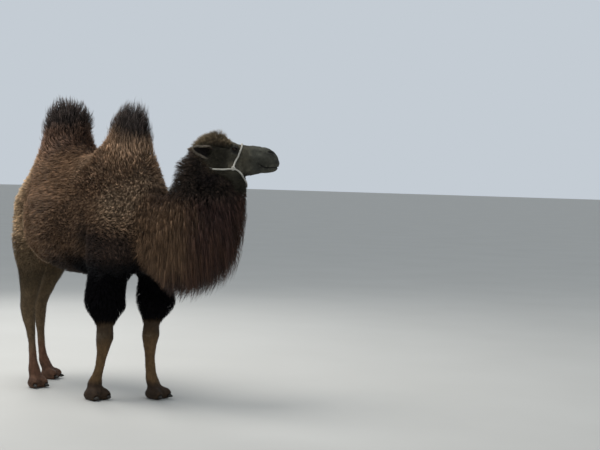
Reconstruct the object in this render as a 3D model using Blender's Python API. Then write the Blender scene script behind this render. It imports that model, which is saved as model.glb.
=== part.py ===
"""A bactrian camel bull in winter coat, life size, standing with its head turned to its left.

Frame: metres, +X towards the chest, +Y to the camel's left, +Z up, the soles on z = 0, and the origin
below the middle of the whole animal. The solids reach out to the tips of the coat. The flesh is
modelled whole, from rings swept along the trunk, neck, head and legs, and is then parted with thin cuts.
"""

import math
from dataclasses import dataclass

import bmesh
import bpy
from mathutils import Matrix, Vector
from mathutils.bvhtree import BVHTree

for old in list(bpy.data.objects):
    bpy.data.objects.remove(old)

# ---------------------------------------------------------------- driving sizes
BACK_TOP = 1.78  # height of the back between the humps
REAR_HUMP_TOP, FRONT_HUMP_TOP = 2.170, 2.145
REAR_HUMP_X, FRONT_HUMP_X = -0.315, 0.345
FRONT_LEAN = 0.06  # how far the front hump's top stands ahead of its base
HUMP_SLENDER = 0.80  # a hump's width over its length

HEAD_AT = Vector((0.920, 0.194, 1.800))  # between the ears
HEAD_TURN = math.radians(50)  # the nose's heading, left of the trunk's
HEAD_DIP = math.radians(1)

EYE_RADIUS = 0.0215
EYE_AT = Vector((0.233, 0.3, 0.036))  # in the head's frame, straight out from the left eye
EYE_SHOWS = 0.0085  # how far the ball stands out of the coat
ROPE_RADIUS = 0.0062
ROPE_SUNK = 0.0030  # how far the halter is pressed into the coat

EAR_LENGTH, EAR_WIDTH, EAR_THICKNESS = 0.160, 0.104, 0.030
EAR_ROOT = Vector((0.050, 0.112, -0.006))  # in the head's frame, left ear
EAR_AXIS = Vector((-0.80, 0.52, 0.22))
EAR_OPENS = Vector((0.50, 0.86, 0.00))

HUMPS_FROM = 1.80  # height where the humps are cut from the trunk
FORELEGS_TO, HIND_LEGS_TO = 0.855, 0.90  # heights where the legs are cut from it
CUT = 0.0006  # width of the cuts between the parts
CLEARANCE = 0.0004  # round a piece that sits in a socket

BODY_VOXEL = 0.010
BODY_SMOOTHING = 10
TRUNK_SMOOTHING = 30
BODY_TRIANGLES = 3560
HEAD_SHARE = 0.80  # how readily the head is thinned, next to the rest
RING_SIDES = 28
RINGS_BETWEEN = 4


@dataclass(frozen=True)
class Ring:
    """One cross-section: its centre, half-width, and reach to either side of the centre along its top."""

    at: tuple
    side: float
    up: float
    down: float
    turn: float = 0.0  # heading in degrees, for rings that lie level


# ---------------------------------------------------------------- the rings
BARREL = [
    Ring((-0.485, 0, 1.380), 0.05, 0.10, 0.10),
    Ring((-0.467, 0, 1.375), 0.20, 0.24, 0.21),
    Ring((-0.405, 0, 1.360), 0.325, BACK_TOP - 1.40, 0.330),
    Ring((-0.300, 0, 1.335), 0.400, BACK_TOP - 1.34, 0.400),
    Ring((-0.150, 0, 1.315), 0.410, BACK_TOP - 1.315, 0.440),
    Ring((0.050, 0, 1.310), 0.405, BACK_TOP - 1.31, 0.450),
    Ring((0.250, 0, 1.310), 0.365, BACK_TOP - 1.31, 0.435),
    Ring((0.450, 0, 1.300), 0.325, 0.41, 0.390),
    Ring((0.600, 0, 1.270), 0.255, 0.31, 0.300),
    Ring((0.690, 0, 1.240), 0.150, 0.17, 0.180),
    Ring((0.715, 0, 1.230), 0.050, 0.06, 0.060),
]
RUMP = [
    Ring((-0.805, 0, 1.290), 0.050, 0.08, 0.10),
    Ring((-0.782, 0, 1.290), 0.140, 0.17, 0.19),
    Ring((-0.715, 0, 1.300), 0.222, 0.255, 0.28),
    Ring((-0.600, 0, 1.320), 0.275, 0.330, 0.33),
    Ring((-0.450, 0, 1.330), 0.300, 0.410, 0.35),
    Ring((-0.250, 0, 1.330), 0.300, 0.430, 0.35),
    Ring((-0.150, 0, 1.330), 0.200, 0.300, 0.25),
]

# The brisket: the mane's root runs forward and up from the chest.
NECK_ROOT = [
    Ring((0.350, 0.000, 1.330), 0.240, 0.300, 0.330),
    Ring((0.550, 0.010, 1.270), 0.235, 0.300, 0.330),
    Ring((0.700, 0.030, 1.220), 0.225, 0.290, 0.330),
    Ring((0.850, 0.070, 1.190), 0.210, 0.280, 0.330),
    Ring((0.960, 0.110, 1.200), 0.170, 0.230, 0.280),
]

# The neck with its hanging mane, in level rings from the lowest hairs up to the jaw.
NECK = [
    Ring((0.880, 0.030, 0.738), 0.035, 0.04, 0.04, 22),
    Ring((0.900, 0.045, 0.770), 0.092, 0.12, 0.11, 22),
    Ring((0.940, 0.075, 0.840), 0.136, 0.20, 0.20, 23),
    Ring((0.965, 0.090, 0.930), 0.168, 0.27, 0.27, 25),
    Ring((0.985, 0.105, 1.040), 0.185, 0.325, 0.32, 27),
    Ring((0.995, 0.120, 1.170), 0.200, 0.345, 0.33, 31),
    Ring((1.000, 0.140, 1.310), 0.200, 0.325, 0.32, 35),
    Ring((1.010, 0.165, 1.450), 0.190, 0.298, 0.29, 40),
    Ring((1.015, 0.190, 1.590), 0.172, 0.277, 0.270, 45),
    Ring((1.000, 0.200, 1.690), 0.150, 0.240, 0.268, 50),
    Ring((0.975, 0.205, 1.780), 0.120, 0.110, 0.205, 50),
    Ring((0.965, 0.205, 1.815), 0.060, 0.050, 0.090, 50),
]


def hump(centre, lean, reaches):
    """Level rings of a hump: (height, reach ahead, reach behind) at each height."""
    top = reaches[-1][0]
    rings = []
    for height, ahead, behind in reaches:
        rise = max(height - BACK_TOP + 0.3, 0) / (top - BACK_TOP + 0.3)
        side = (ahead + behind) / 2 * HUMP_SLENDER
        rings.append(Ring((centre + lean * rise, 0, height), side, ahead, behind))
    return rings


REAR_HUMP = hump(
    REAR_HUMP_X,
    0.0,
    [
        (1.30, 0.300, 0.270),
        (1.40, 0.370, 0.330),
        (1.51, 0.385, 0.350),
        (1.62, 0.345, 0.312),
        (1.73, 0.295, 0.255),
        (1.83, 0.255, 0.212),
        (1.92, 0.226, 0.198),
        (2.01, 0.204, 0.198),
        (2.08, 0.198, 0.196),
        (2.13, 0.174, 0.170),
        (REAR_HUMP_TOP, 0.095, 0.095),
    ],
)
FRONT_HUMP = hump(
    FRONT_HUMP_X,
    FRONT_LEAN,
    [
        (1.25, 0.250, 0.300),
        (1.36, 0.340, 0.380),
        (1.47, 0.370, 0.405),
        (1.58, 0.325, 0.360),
        (1.68, 0.262, 0.310),
        (1.77, 0.212, 0.262),
        (1.85, 0.172, 0.228),
        (1.93, 0.140, 0.190),
        (2.00, 0.132, 0.166),
        (2.06, 0.142, 0.156),
        (2.11, 0.128, 0.132),
        (FRONT_HUMP_TOP, 0.075, 0.075),
    ],
)

# Legs, from the shoulder or hip down to the fetlock. Up is ahead, down is behind.
FRONT_RIGHT_LEG = [
    Ring((0.400, -0.170, 1.380), 0.090, 0.170, 0.170),
    Ring((0.420, -0.195, 1.200), 0.120, 0.185, 0.190),
    Ring((0.425, -0.210, 1.000), 0.135, 0.165, 0.185),
    Ring((0.425, -0.215, 0.850), 0.145, 0.155, 0.180),
    Ring((0.415, -0.215, 0.720), 0.145, 0.150, 0.185),
    Ring((0.405, -0.212, 0.640), 0.118, 0.125, 0.150),
    Ring((0.395, -0.208, 0.580), 0.070, 0.080, 0.090),
    Ring((0.388, -0.205, 0.530), 0.060, 0.070, 0.068),
    Ring((0.380, -0.202, 0.450), 0.063, 0.074, 0.066),
    Ring((0.362, -0.198, 0.370), 0.050, 0.055, 0.050),
    Ring((0.330, -0.193, 0.270), 0.038, 0.042, 0.042),
    Ring((0.296, -0.190, 0.180), 0.042, 0.046, 0.046),
    Ring((0.272, -0.188, 0.120), 0.052, 0.055, 0.052),
    Ring((0.268, -0.186, 0.070), 0.055, 0.060, 0.050),
]
FRONT_LEFT_LEG = [
    Ring((0.410, 0.170, 1.380), 0.090, 0.170, 0.170),
    Ring((0.430, 0.190, 1.200), 0.115, 0.180, 0.190),
    Ring((0.455, 0.200, 1.000), 0.125, 0.160, 0.175),
    Ring((0.475, 0.200, 0.850), 0.132, 0.140, 0.150),
    Ring((0.484, 0.200, 0.720), 0.140, 0.155, 0.165),
    Ring((0.478, 0.196, 0.640), 0.118, 0.135, 0.135),
    Ring((0.462, 0.190, 0.580), 0.074, 0.084, 0.085),
    Ring((0.452, 0.186, 0.530), 0.060, 0.070, 0.068),
    Ring((0.445, 0.182, 0.450), 0.064, 0.078, 0.066),
    Ring((0.448, 0.178, 0.370), 0.050, 0.056, 0.052),
    Ring((0.456, 0.174, 0.270), 0.040, 0.044, 0.044),
    Ring((0.472, 0.172, 0.180), 0.044, 0.048, 0.048),
    Ring((0.494, 0.170, 0.120), 0.052, 0.056, 0.052),
    Ring((0.520, 0.170, 0.070), 0.055, 0.060, 0.050),
]
HIND_RIGHT_LEG = [
    Ring((-0.560, -0.140, 1.420), 0.090, 0.160, 0.160),
    Ring((-0.550, -0.165, 1.250), 0.125, 0.210, 0.205),
    Ring((-0.510, -0.180, 1.080), 0.120, 0.190, 0.195),
    Ring((-0.490, -0.188, 0.930), 0.098, 0.145, 0.155),
    Ring((-0.500, -0.190, 0.800), 0.078, 0.098, 0.115),
    Ring((-0.515, -0.188, 0.690), 0.062, 0.070, 0.090),
    Ring((-0.530, -0.185, 0.600), 0.056, 0.058, 0.082),
    Ring((-0.522, -0.182, 0.520), 0.053, 0.056, 0.066),
    Ring((-0.505, -0.180, 0.440), 0.043, 0.046, 0.048),
    Ring((-0.488, -0.178, 0.330), 0.035, 0.038, 0.038),
    Ring((-0.475, -0.176, 0.220), 0.037, 0.040, 0.040),
    Ring((-0.462, -0.174, 0.140), 0.047, 0.050, 0.048),
    Ring((-0.445, -0.173, 0.075), 0.050, 0.058, 0.048),
]
HIND_LEFT_LEG = [
    Ring((-0.580, 0.140, 1.420), 0.090, 0.160, 0.160),
    Ring((-0.580, 0.160, 1.250), 0.120, 0.210, 0.200),
    Ring((-0.590, 0.165, 1.080), 0.115, 0.190, 0.190),
    Ring((-0.640, 0.160, 0.930), 0.095, 0.150, 0.150),
    Ring((-0.700, 0.150, 0.800), 0.076, 0.100, 0.115),
    Ring((-0.755, 0.140, 0.690), 0.062, 0.072, 0.088),
    Ring((-0.790, 0.134, 0.600), 0.056, 0.060, 0.080),
    Ring((-0.792, 0.130, 0.520), 0.053, 0.056, 0.064),
    Ring((-0.785, 0.128, 0.440), 0.043, 0.046, 0.048),
    Ring((-0.775, 0.130, 0.330), 0.035, 0.038, 0.038),
    Ring((-0.762, 0.134, 0.220), 0.037, 0.040, 0.040),
    Ring((-0.742, 0.142, 0.140), 0.047, 0.050, 0.048),
    Ring((-0.715, 0.155, 0.075), 0.050, 0.058, 0.048),
]
# Each foot: the ankle it hangs from, the way its toes point, and its length.
FEET = {
    "front_right": (Vector((0.268, -0.186, 0)), math.radians(-6), 0.200),
    "front_left": (Vector((0.518, 0.170, 0)), math.radians(6), 0.200),
    "hind_right": (Vector((-0.440, -0.173, 0)), math.radians(-10), 0.175),
    "hind_left": (Vector((-0.708, 0.158, 0)), math.radians(28), 0.175),
}

TAIL = [
    Ring((-0.745, 0, 1.480), 0.055, 0.060, 0.060),
    Ring((-0.800, 0, 1.450), 0.046, 0.046, 0.046),
    Ring((-0.842, 0, 1.380), 0.038, 0.036, 0.036),
    Ring((-0.862, 0, 1.280), 0.033, 0.030, 0.030),
    Ring((-0.872, 0, 1.160), 0.036, 0.030, 0.032),
    Ring((-0.880, 0, 1.050), 0.044, 0.033, 0.038),
    Ring((-0.884, 0, 0.960), 0.036, 0.028, 0.030),
    Ring((-0.884, 0, 0.895), 0.010, 0.009, 0.009),
]

# The head, in its own frame: +X to the nose, +Z up, from the poll.
SKULL = [
    Ring((-0.075, 0, -0.020), 0.060, 0.060, 0.090),
    Ring((-0.040, 0, -0.010), 0.095, 0.095, 0.140),
    Ring((0.010, 0, 0.000), 0.110, 0.110, 0.180),
    Ring((0.060, 0, 0.000), 0.112, 0.120, 0.185),
    Ring((0.150, 0, -0.010), 0.108, 0.118, 0.170),
    Ring((0.205, 0, -0.015), 0.104, 0.112, 0.155),
    Ring((0.255, 0, -0.020), 0.096, 0.098, 0.145),
    Ring((0.310, 0, -0.025), 0.078, 0.100, 0.122),
    Ring((0.370, 0, -0.020), 0.062, 0.093, 0.092),
    Ring((0.430, 0, -0.018), 0.062, 0.087, 0.068),
    Ring((0.475, 0, -0.022), 0.066, 0.081, 0.062),
    Ring((0.515, 0, -0.036), 0.063, 0.064, 0.048),
    Ring((0.550, 0, -0.052), 0.050, 0.036, 0.032),
    Ring((0.576, 0, -0.062), 0.024, 0.012, 0.014),
]
JAW = [
    Ring((0.120, 0, -0.110), 0.080, 0.060, 0.080),
    Ring((0.220, 0, -0.110), 0.082, 0.060, 0.080),
    Ring((0.300, 0, -0.105), 0.068, 0.050, 0.066),
    Ring((0.370, 0, -0.100), 0.050, 0.040, 0.052),
    Ring((0.440, 0, -0.098), 0.042, 0.030, 0.036),
    Ring((0.500, 0, -0.100), 0.042, 0.024, 0.030),
    Ring((0.540, 0, -0.100), 0.034, 0.016, 0.018),
    Ring((0.560, 0, -0.097), 0.016, 0.007, 0.008),
]
TOPKNOT = [
    Ring((-0.085, 0, 0.010), 0.030, 0.030, 0.05),
    Ring((-0.060, 0, 0.020), 0.070, 0.052, 0.08),
    Ring((0.000, 0, 0.040), 0.090, 0.070, 0.08),
    Ring((0.060, 0, 0.060), 0.092, 0.082, 0.08),
    Ring((0.115, 0, 0.072), 0.085, 0.094, 0.08),
    Ring((0.150, 0, 0.076), 0.066, 0.098, 0.06),
    Ring((0.168, 0, 0.074), 0.036, 0.062, 0.04),
]


# ---------------------------------------------------------------- building tools
def new_object(name, bm):
    mesh = bpy.data.meshes.new(name)
    bm.to_mesh(mesh)
    bm.free()
    made = bpy.data.objects.new(name, mesh)
    bpy.context.scene.collection.objects.link(made)
    return made


def between(a, b, c, d, t):
    """The Catmull-Rom curve from b to c."""
    return 0.5 * ((2 * b) + (c - a) * t + (2 * a - 5 * b + 4 * c - d) * t**2 + (3 * b - a - 3 * c + d) * t**3)


def fill_in(rings, steps=RINGS_BETWEEN):
    """The rings with smoothly varying ones between them."""
    rows = [Vector((*r.at, r.side, r.up, r.down, r.turn)) for r in rings]
    rows = [2 * rows[0] - rows[1], *rows, 2 * rows[-1] - rows[-2]]
    filled = []
    for i in range(1, len(rows) - 2):
        for step in range(steps):
            filled.append(between(*rows[i - 1 : i + 3], step / steps))
    filled.append(rows[-2])
    return [Ring(tuple(v[:3]), *(max(x, 0.004) for x in v[3:6]), v[6]) for v in filled]


def sweep(name, rings, level=False, place=Matrix.Identity(4), sides=RING_SIDES, steps=RINGS_BETWEEN):
    """A closed skin through the rings. Level rings measure up along their heading, others along +Z."""
    rings = fill_in(rings, steps)
    bm = bmesh.new()
    loops = []
    for i, ring in enumerate(rings):
        along = Vector(rings[min(i + 1, len(rings) - 1)].at) - Vector(rings[max(i - 1, 0)].at)
        if level:
            heading = math.radians(ring.turn)
            top = Vector((math.cos(heading), math.sin(heading), 0))
            along = Vector((0, 0, along.z))
        else:
            top = Vector((0, 0, 1))
        across = top.cross(along).normalized()
        top = along.cross(across).normalized()
        circle = bmesh.ops.create_circle(bm, segments=sides, radius=1)["verts"]
        for v in circle:
            reach = ring.up if v.co.y > 0 else ring.down
            v.co = Vector(ring.at) + across * v.co.x * ring.side + top * v.co.y * reach
        loops.append(list({e for v in circle for e in v.link_edges}))
    for near, far in zip(loops, loops[1:]):
        bmesh.ops.bridge_loops(bm, edges=near + far)
    bmesh.ops.holes_fill(bm, edges=loops[0] + loops[-1])
    bmesh.ops.recalc_face_normals(bm, faces=bm.faces)
    bmesh.ops.transform(bm, matrix=place, verts=bm.verts)
    return new_object(name, bm)


def ball(name, at, size, place=Matrix.Identity(4), segments=20):
    """An ellipsoid of these half-sizes."""
    bm = bmesh.new()
    bmesh.ops.create_uvsphere(bm, u_segments=segments, v_segments=segments // 2, radius=1)
    bmesh.ops.scale(bm, vec=Vector(size), verts=bm.verts)
    bmesh.ops.translate(bm, vec=Vector(at), verts=bm.verts)
    bmesh.ops.transform(bm, matrix=place, verts=bm.verts)
    return new_object(name, bm)


def block(name, low, high, place=Matrix.Identity(4), grow=0.0):
    """A box between two corners, grown on every side."""
    low = Vector(low) - Vector((grow,) * 3)
    high = Vector(high) + Vector((grow,) * 3)
    bm = bmesh.new()
    bmesh.ops.create_cube(bm, size=1)
    bmesh.ops.scale(bm, vec=high - low, verts=bm.verts)
    bmesh.ops.translate(bm, vec=(low + high) / 2, verts=bm.verts)
    bmesh.ops.transform(bm, matrix=place, verts=bm.verts)
    return new_object(name, bm)


def settle(obj):
    """Makes the object's modifiers part of its mesh."""
    bpy.context.view_layer.update()
    graph = bpy.context.evaluated_depsgraph_get()
    mesh = bpy.data.meshes.new_from_object(obj.evaluated_get(graph))
    obj.modifiers.clear()
    obj.data = mesh
    return obj


def boolean(obj, cutter, operation):
    step = obj.modifiers.new("cut", "BOOLEAN")
    step.operation = operation
    step.object = cutter
    return settle(obj)


def copy_of(obj, name):
    made = obj.copy()
    made.data = obj.data.copy()
    made.name = name
    bpy.context.scene.collection.objects.link(made)
    return made


def drop(*objects):
    for obj in objects:
        bpy.data.objects.remove(obj)


def joined(name, objects):
    bm = bmesh.new()
    for obj in objects:
        bm.from_mesh(obj.data)
    made = new_object(name, bm)
    drop(*objects)
    return made


def part_off(body, name, low, high, place=Matrix.Identity(4)):
    """Takes what lies in a box off the body, as a part of its own with a thin cut round it."""
    part = copy_of(body, name)
    inside = block("inside", low, high, place, -CUT / 2)
    outside = block("outside", low, high, place, CUT / 2)
    boolean(part, inside, "INTERSECT")
    boolean(body, outside, "DIFFERENCE")
    drop(inside, outside)
    return part


# ---------------------------------------------------------------- the flesh, in one piece
HEAD_PLACE = (
    Matrix.Translation(HEAD_AT)
    @ Matrix.Rotation(HEAD_TURN, 4, "Z")
    @ Matrix.Rotation(HEAD_DIP, 4, "Y")
)
LEGS = {
    "front_right": FRONT_RIGHT_LEG,
    "front_left": FRONT_LEFT_LEG,
    "hind_right": HIND_RIGHT_LEG,
    "hind_left": HIND_LEFT_LEG,
}
TOE_SPREAD = math.radians(9)


def foot_place(name):
    at, turn, _ = FEET[name]
    return Matrix.Translation(at) @ Matrix.Rotation(turn, 4, "Z")


def toe_place(name, side):
    return foot_place(name) @ Matrix.Rotation(side * TOE_SPREAD, 4, "Z")


def foot(name):
    """Two broad toes on a joined pad, which the floor flattens."""
    length = FEET[name][2]
    pieces = [ball(name + "_pad", (0.01, 0, 0.032), (length * 0.44, length * 0.40, 0.058), foot_place(name))]
    for side in (-1, 1):
        pieces.append(
            ball(
                name + "_toe",
                (length * 0.24, side * length * 0.19, 0.036),
                (length * 0.40, length * 0.215, 0.052),
                toe_place(name, side),
            )
        )
    return pieces


def flesh():
    pieces = [
        sweep("barrel", BARREL),
        sweep("rump", RUMP),
        sweep("neck_root", NECK_ROOT),
        sweep("neck", NECK, level=True),
        sweep("rear_hump", REAR_HUMP, level=True),
        sweep("front_hump", FRONT_HUMP, level=True),
        sweep("tail", TAIL, level=True),
        sweep("skull", SKULL, place=HEAD_PLACE),
        sweep("jaw", JAW, place=HEAD_PLACE),
        sweep("topknot", TOPKNOT, place=HEAD_PLACE),
    ]
    for name, rings in LEGS.items():
        pieces.append(sweep(name, rings, level=True))
        pieces += foot(name)
    body = joined("flesh", pieces)
    melt = body.modifiers.new("melt", "REMESH")
    melt.mode = "VOXEL"
    melt.voxel_size = BODY_VOXEL
    soften = body.modifiers.new("soften", "SMOOTH")
    soften.factor = 0.5
    soften.iterations = BODY_SMOOTHING
    settle(body)
    blend = body.vertex_groups.new(name="blend")
    for v in body.data.vertices:
        on_trunk = v.co.z > 0.75 and (v.co - HEAD_AT).length > 0.30 and v.co.x < 1.1 and v.co.x > -0.83
        blend.add([v.index], 1.0 if on_trunk else 0.0, "REPLACE")
    merge = body.modifiers.new("merge", "SMOOTH")
    merge.factor = 0.5
    merge.iterations = TRUNK_SMOOTHING
    merge.vertex_group = "blend"
    settle(body)
    coarse = body.vertex_groups.new(name="coarse")
    for v in body.data.vertices:
        near = (v.co - HEAD_PLACE @ Vector((0.25, 0, -0.03))).length < 0.36
        coarse.add([v.index], HEAD_SHARE if near or v.co.z < 0.12 else 1.0, "REPLACE")
    thin = body.modifiers.new("thin", "DECIMATE")
    thin.vertex_group = "coarse"
    thin.vertex_group_factor = 0.2
    thin.ratio = BODY_TRIANGLES / (2 * len(body.data.polygons))
    return settle(body)


body = flesh()

# ---------------------------------------------------------------- the parts cut from it
FAR = 3.0


def half_space(at, towards):
    """A frame whose +X looks along towards, from the point at."""
    towards = Vector(towards).normalized()
    return Matrix.Translation(Vector(at)) @ towards.to_track_quat("X", "Z").to_matrix().to_4x4()


AHEAD = ((0, -FAR, -FAR), (FAR, FAR, FAR))
head_cut = HEAD_PLACE @ half_space((-0.090, 0, 0.060), (0.66, 0, 0.75))
neck_cut = half_space((0.660, 0, 1.300), (1.0, 0.0, 0.06))
TAIL_BOX = ((0, -0.08, -0.60), (0.4, 0.08, 0.40))
tail_cut = half_space((-0.822, 0, 1.400), (-1.0, 0, 0.06))

floor = block("floor", (-FAR, -FAR, -FAR), (FAR, FAR, 0))
boolean(body, floor, "DIFFERENCE")
drop(floor)
nodes = {
    "tail": part_off(body, "tail", *TAIL_BOX, tail_cut),
    "head": part_off(body, "head", *AHEAD, head_cut),
    "leg_front_right": part_off(body, "leg_front_right", (0.16, -FAR, -1), (0.72, 0, FORELEGS_TO)),
    "leg_front_left": part_off(body, "leg_front_left", (0.16, 0, -1), (0.72, FAR, FORELEGS_TO)),
    "leg_hind_right": part_off(body, "leg_hind_right", (-1.2, -FAR, -1), (-0.28, 0, HIND_LEGS_TO)),
    "leg_hind_left": part_off(body, "leg_hind_left", (-1.2, 0, -1), (-0.28, FAR, HIND_LEGS_TO)),
    "neck": part_off(body, "neck", *AHEAD, neck_cut),
    "hump_rear": part_off(body, "hump_rear", (-FAR, -FAR, HUMPS_FROM), (0.0, FAR, FAR)),
    "hump_front": part_off(body, "hump_front", (0.0, -FAR, HUMPS_FROM), (FAR, FAR, FAR)),
    "trunk": body,
}
body.name = "trunk"


# ---------------------------------------------------------------- eyes, ears, nails and halter
def surface_of(*objects):
    """The surface of the objects as they are now, to lay other parts on."""
    bm = bmesh.new()
    for obj in objects:
        bm.from_mesh(obj.data)
    tree = BVHTree.FromBMesh(bm)
    bm.free()
    return tree


def take(name):
    """Cuts a seat for the node out of the flesh that it touches."""
    seat = grown[name]
    for other in ("head", "neck"):
        boolean(nodes[other], seat, "DIFFERENCE")
    drop(seat)


def ear_frame(side):
    root, axis, opens = (Vector((v.x, side * v.y, v.z)) for v in (EAR_ROOT, EAR_AXIS, EAR_OPENS))
    axis = axis.normalized()
    opens = (opens - opens.dot(axis) * axis).normalized()
    wide = axis.cross(opens)
    turn = Matrix((axis, opens, wide)).transposed().to_4x4()
    return HEAD_PLACE @ Matrix.Translation(root) @ turn


EAR_OUTLINE = [
    (-0.12, 0.40),
    (0.00, 0.72),
    (0.20, 0.98),
    (0.42, 0.94),
    (0.64, 0.72),
    (0.84, 0.40),
    (0.96, 0.16),
    (1.00, 0.06),
]


def ear(name, side, grow=0.0):
    """A leaf that tapers to its tip; the cup is cut into it when it isn't grown into a seat."""
    rings = []
    for along, width in EAR_OUTLINE:
        half = width * EAR_WIDTH / 2 + grow
        thick = EAR_THICKNESS / 2 * (0.35 + 0.65 * width) + grow
        rings.append(Ring((along * EAR_LENGTH + grow * (2 * along - 0.8), 0, 0), thick, half, half))
    made = sweep(name, rings, place=ear_frame(side), sides=12, steps=1)
    if grow:
        return made
    hollow = (EAR_LENGTH * 0.36, EAR_THICKNESS * 0.75, EAR_WIDTH * 0.36)
    cup = ball("cup", (EAR_LENGTH * 0.50, EAR_THICKNESS * 0.60, 0), hollow, ear_frame(side), 10)
    boolean(made, cup, "DIFFERENCE")
    drop(cup)
    return made


def eyeball(name, side, coat, grow=0.0):
    out = HEAD_PLACE.to_3x3() @ Vector((0, side, 0))
    start = HEAD_PLACE @ Vector((EYE_AT.x, side * EYE_AT.y, EYE_AT.z))
    hit = coat.ray_cast(start, -out)[0]
    centre = hit - out * (EYE_RADIUS - EYE_SHOWS)
    radius = EYE_RADIUS + grow
    return ball(name, (0, 0, 0), (radius,) * 3, Matrix.Translation(centre), 12)


def tube(name, points, radius, sides=6):
    """A rope of this radius along the points."""
    bm = bmesh.new()
    loops = []
    across = None
    for i, point in enumerate(points):
        along = (points[min(i + 1, len(points) - 1)] - points[max(i - 1, 0)]).normalized()
        across = along.orthogonal() if across is None else across - across.dot(along) * along
        across.normalize()
        other = along.cross(across)
        at_end = i in (0, len(points) - 1)  # inside the knot
        circle = bmesh.ops.create_circle(bm, segments=sides, radius=radius * (0.5 if at_end else 1))["verts"]
        for v in circle:
            v.co = point + across * v.co.x + other * v.co.y
        loops.append(list({e for v in circle for e in v.link_edges}))
    for near, far in zip(loops, loops[1:]):
        bmesh.ops.bridge_loops(bm, edges=near + far)
    bmesh.ops.holes_fill(bm, edges=loops[0] + loops[-1])
    bmesh.ops.recalc_face_normals(bm, faces=bm.faces)
    return new_object(name, bm)


def laid(coat, guide, core, steps, ends=None):
    """A smooth path near the guide points, drawn in to the coat along lines to the core."""
    guide = [2 * guide[0] - guide[1], *guide, 2 * guide[-1] - guide[-2]]
    points = []
    for i in range(1, len(guide) - 2):
        last = i == len(guide) - 3
        for step in range(steps + last):
            points.append(between(*guide[i - 1 : i + 3], step / steps))
    path = []
    for point in points:
        out = (point - core).normalized()
        towards = (HEAD_PLACE.to_3x3() @ out).normalized()
        start = HEAD_PLACE @ (core + out * 0.5)
        hit = coat.ray_cast(start, -towards)[0]
        path.append(hit + towards * (ROPE_RADIUS - ROPE_SUNK))
    if ends:
        path = [ends[0], *path[1:-1], ends[1]]
    for _ in range(3):
        inner = [(a + 2 * b + c) / 4 for a, b, c in zip(path, path[1:], path[2:])]
        path = [path[0], *inner, path[-1]]
    return path


def mirrored(points):
    """The points, then the same ones back on the other side of the head."""
    return points + [Vector((p.x, -p.y, p.z)) for p in reversed(points[:-1])]


KNOT_SIZE = Vector((0.017, 0.014, 0.019))
KNOT = Vector((0.220, -0.090, -0.104))
ROPES = {
    "halter_nose": (
        mirrored(
            [
                KNOT,
                Vector((0.248, -0.100, -0.040)),
                Vector((0.277, -0.075, 0.030)),
                Vector((0.299, 0, 0.080)),
            ]
        ),
        Vector((0.260, 0, -0.095)),
        3,
    ),
    "halter_chin": (
        mirrored(
            [
                KNOT,
                Vector((0.258, -0.110, -0.145)),
                Vector((0.290, -0.100, -0.200)),
                Vector((0.322, -0.055, -0.235)),
                Vector((0.336, 0, -0.245)),
            ]
        ),
        Vector((0.200, 0, -0.195)),
        2,
    ),
    "halter_poll": (
        mirrored(
            [
                KNOT,
                Vector((0.155, -0.12, -0.104)),
                Vector((0.072, -0.13, -0.106)),
                Vector((0.000, -0.13, -0.098)),
                Vector((-0.048, -0.12, -0.050)),
                Vector((-0.060, -0.08, 0.020)),
                Vector((-0.060, 0, 0.070)),
            ]
        ),
        Vector((0.060, 0, -0.095)),
        3,
    ),
}

coat = surface_of(nodes["head"], nodes["neck"])
grown = {}
knots = []
for word, side in (("right", -1), ("left", 1)):
    nodes["ear_" + word] = ear("ear_" + word, side)
    grown["ear_" + word] = ear("seat", side, 1.5 * CLEARANCE)
    nodes["eye_" + word] = eyeball("eye_" + word, side, coat)
    grown["eye_" + word] = eyeball("seat", side, coat, CLEARANCE)
    knot_at = laid(coat, [Vector((KNOT.x, side * -KNOT.y, KNOT.z))] * 2, Vector((KNOT.x, 0, KNOT.z)), 1)[0]
    knots.append(knot_at)
    knot_place = Matrix.Translation(knot_at) @ HEAD_PLACE.to_3x3().to_4x4()
    knot = ("knot_" + word, (0, 0, 0), KNOT_SIZE, knot_place, 10)
    nodes[knot[0]] = ball(*knot)
    grown[knot[0]] = ball("seat", knot[1], knot[2] + Vector((CLEARANCE,) * 3), knot[3], 10)
for name, (guide, core, steps) in ROPES.items():
    path = laid(coat, guide, core, steps, knots)
    nodes[name] = tube(name, path, ROPE_RADIUS)
    for word in ("right", "left"):
        boolean(nodes[name], grown["knot_" + word], "DIFFERENCE")
    grown[name] = tube("seat", path, ROPE_RADIUS + CLEARANCE)
for name in list(grown):
    take(name)

# Each nostril is a slit that runs forward and in over the side of the nose.
NOSTRIL_AT = Vector((0.496, 0.052, 0.017))  # in the head's frame, left nostril
NOSTRIL_SIZE = Vector((0.028, 0.012, 0.0045))
NOSTRIL_IN, NOSTRIL_DIP = math.radians(28), 0.15
for side in (-1, 1):
    slit_place = HEAD_PLACE @ Matrix.Translation((NOSTRIL_AT.x, side * NOSTRIL_AT.y, NOSTRIL_AT.z))
    slit_place = slit_place @ Matrix.Rotation(-side * NOSTRIL_IN, 4, "Z")
    slit_place = slit_place @ Matrix.Rotation(NOSTRIL_DIP, 4, "Y")
    slit = ball("slit", (0, 0, 0), NOSTRIL_SIZE, slit_place, 10)
    boolean(nodes["head"], slit, "DIFFERENCE")
    drop(slit)

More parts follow.
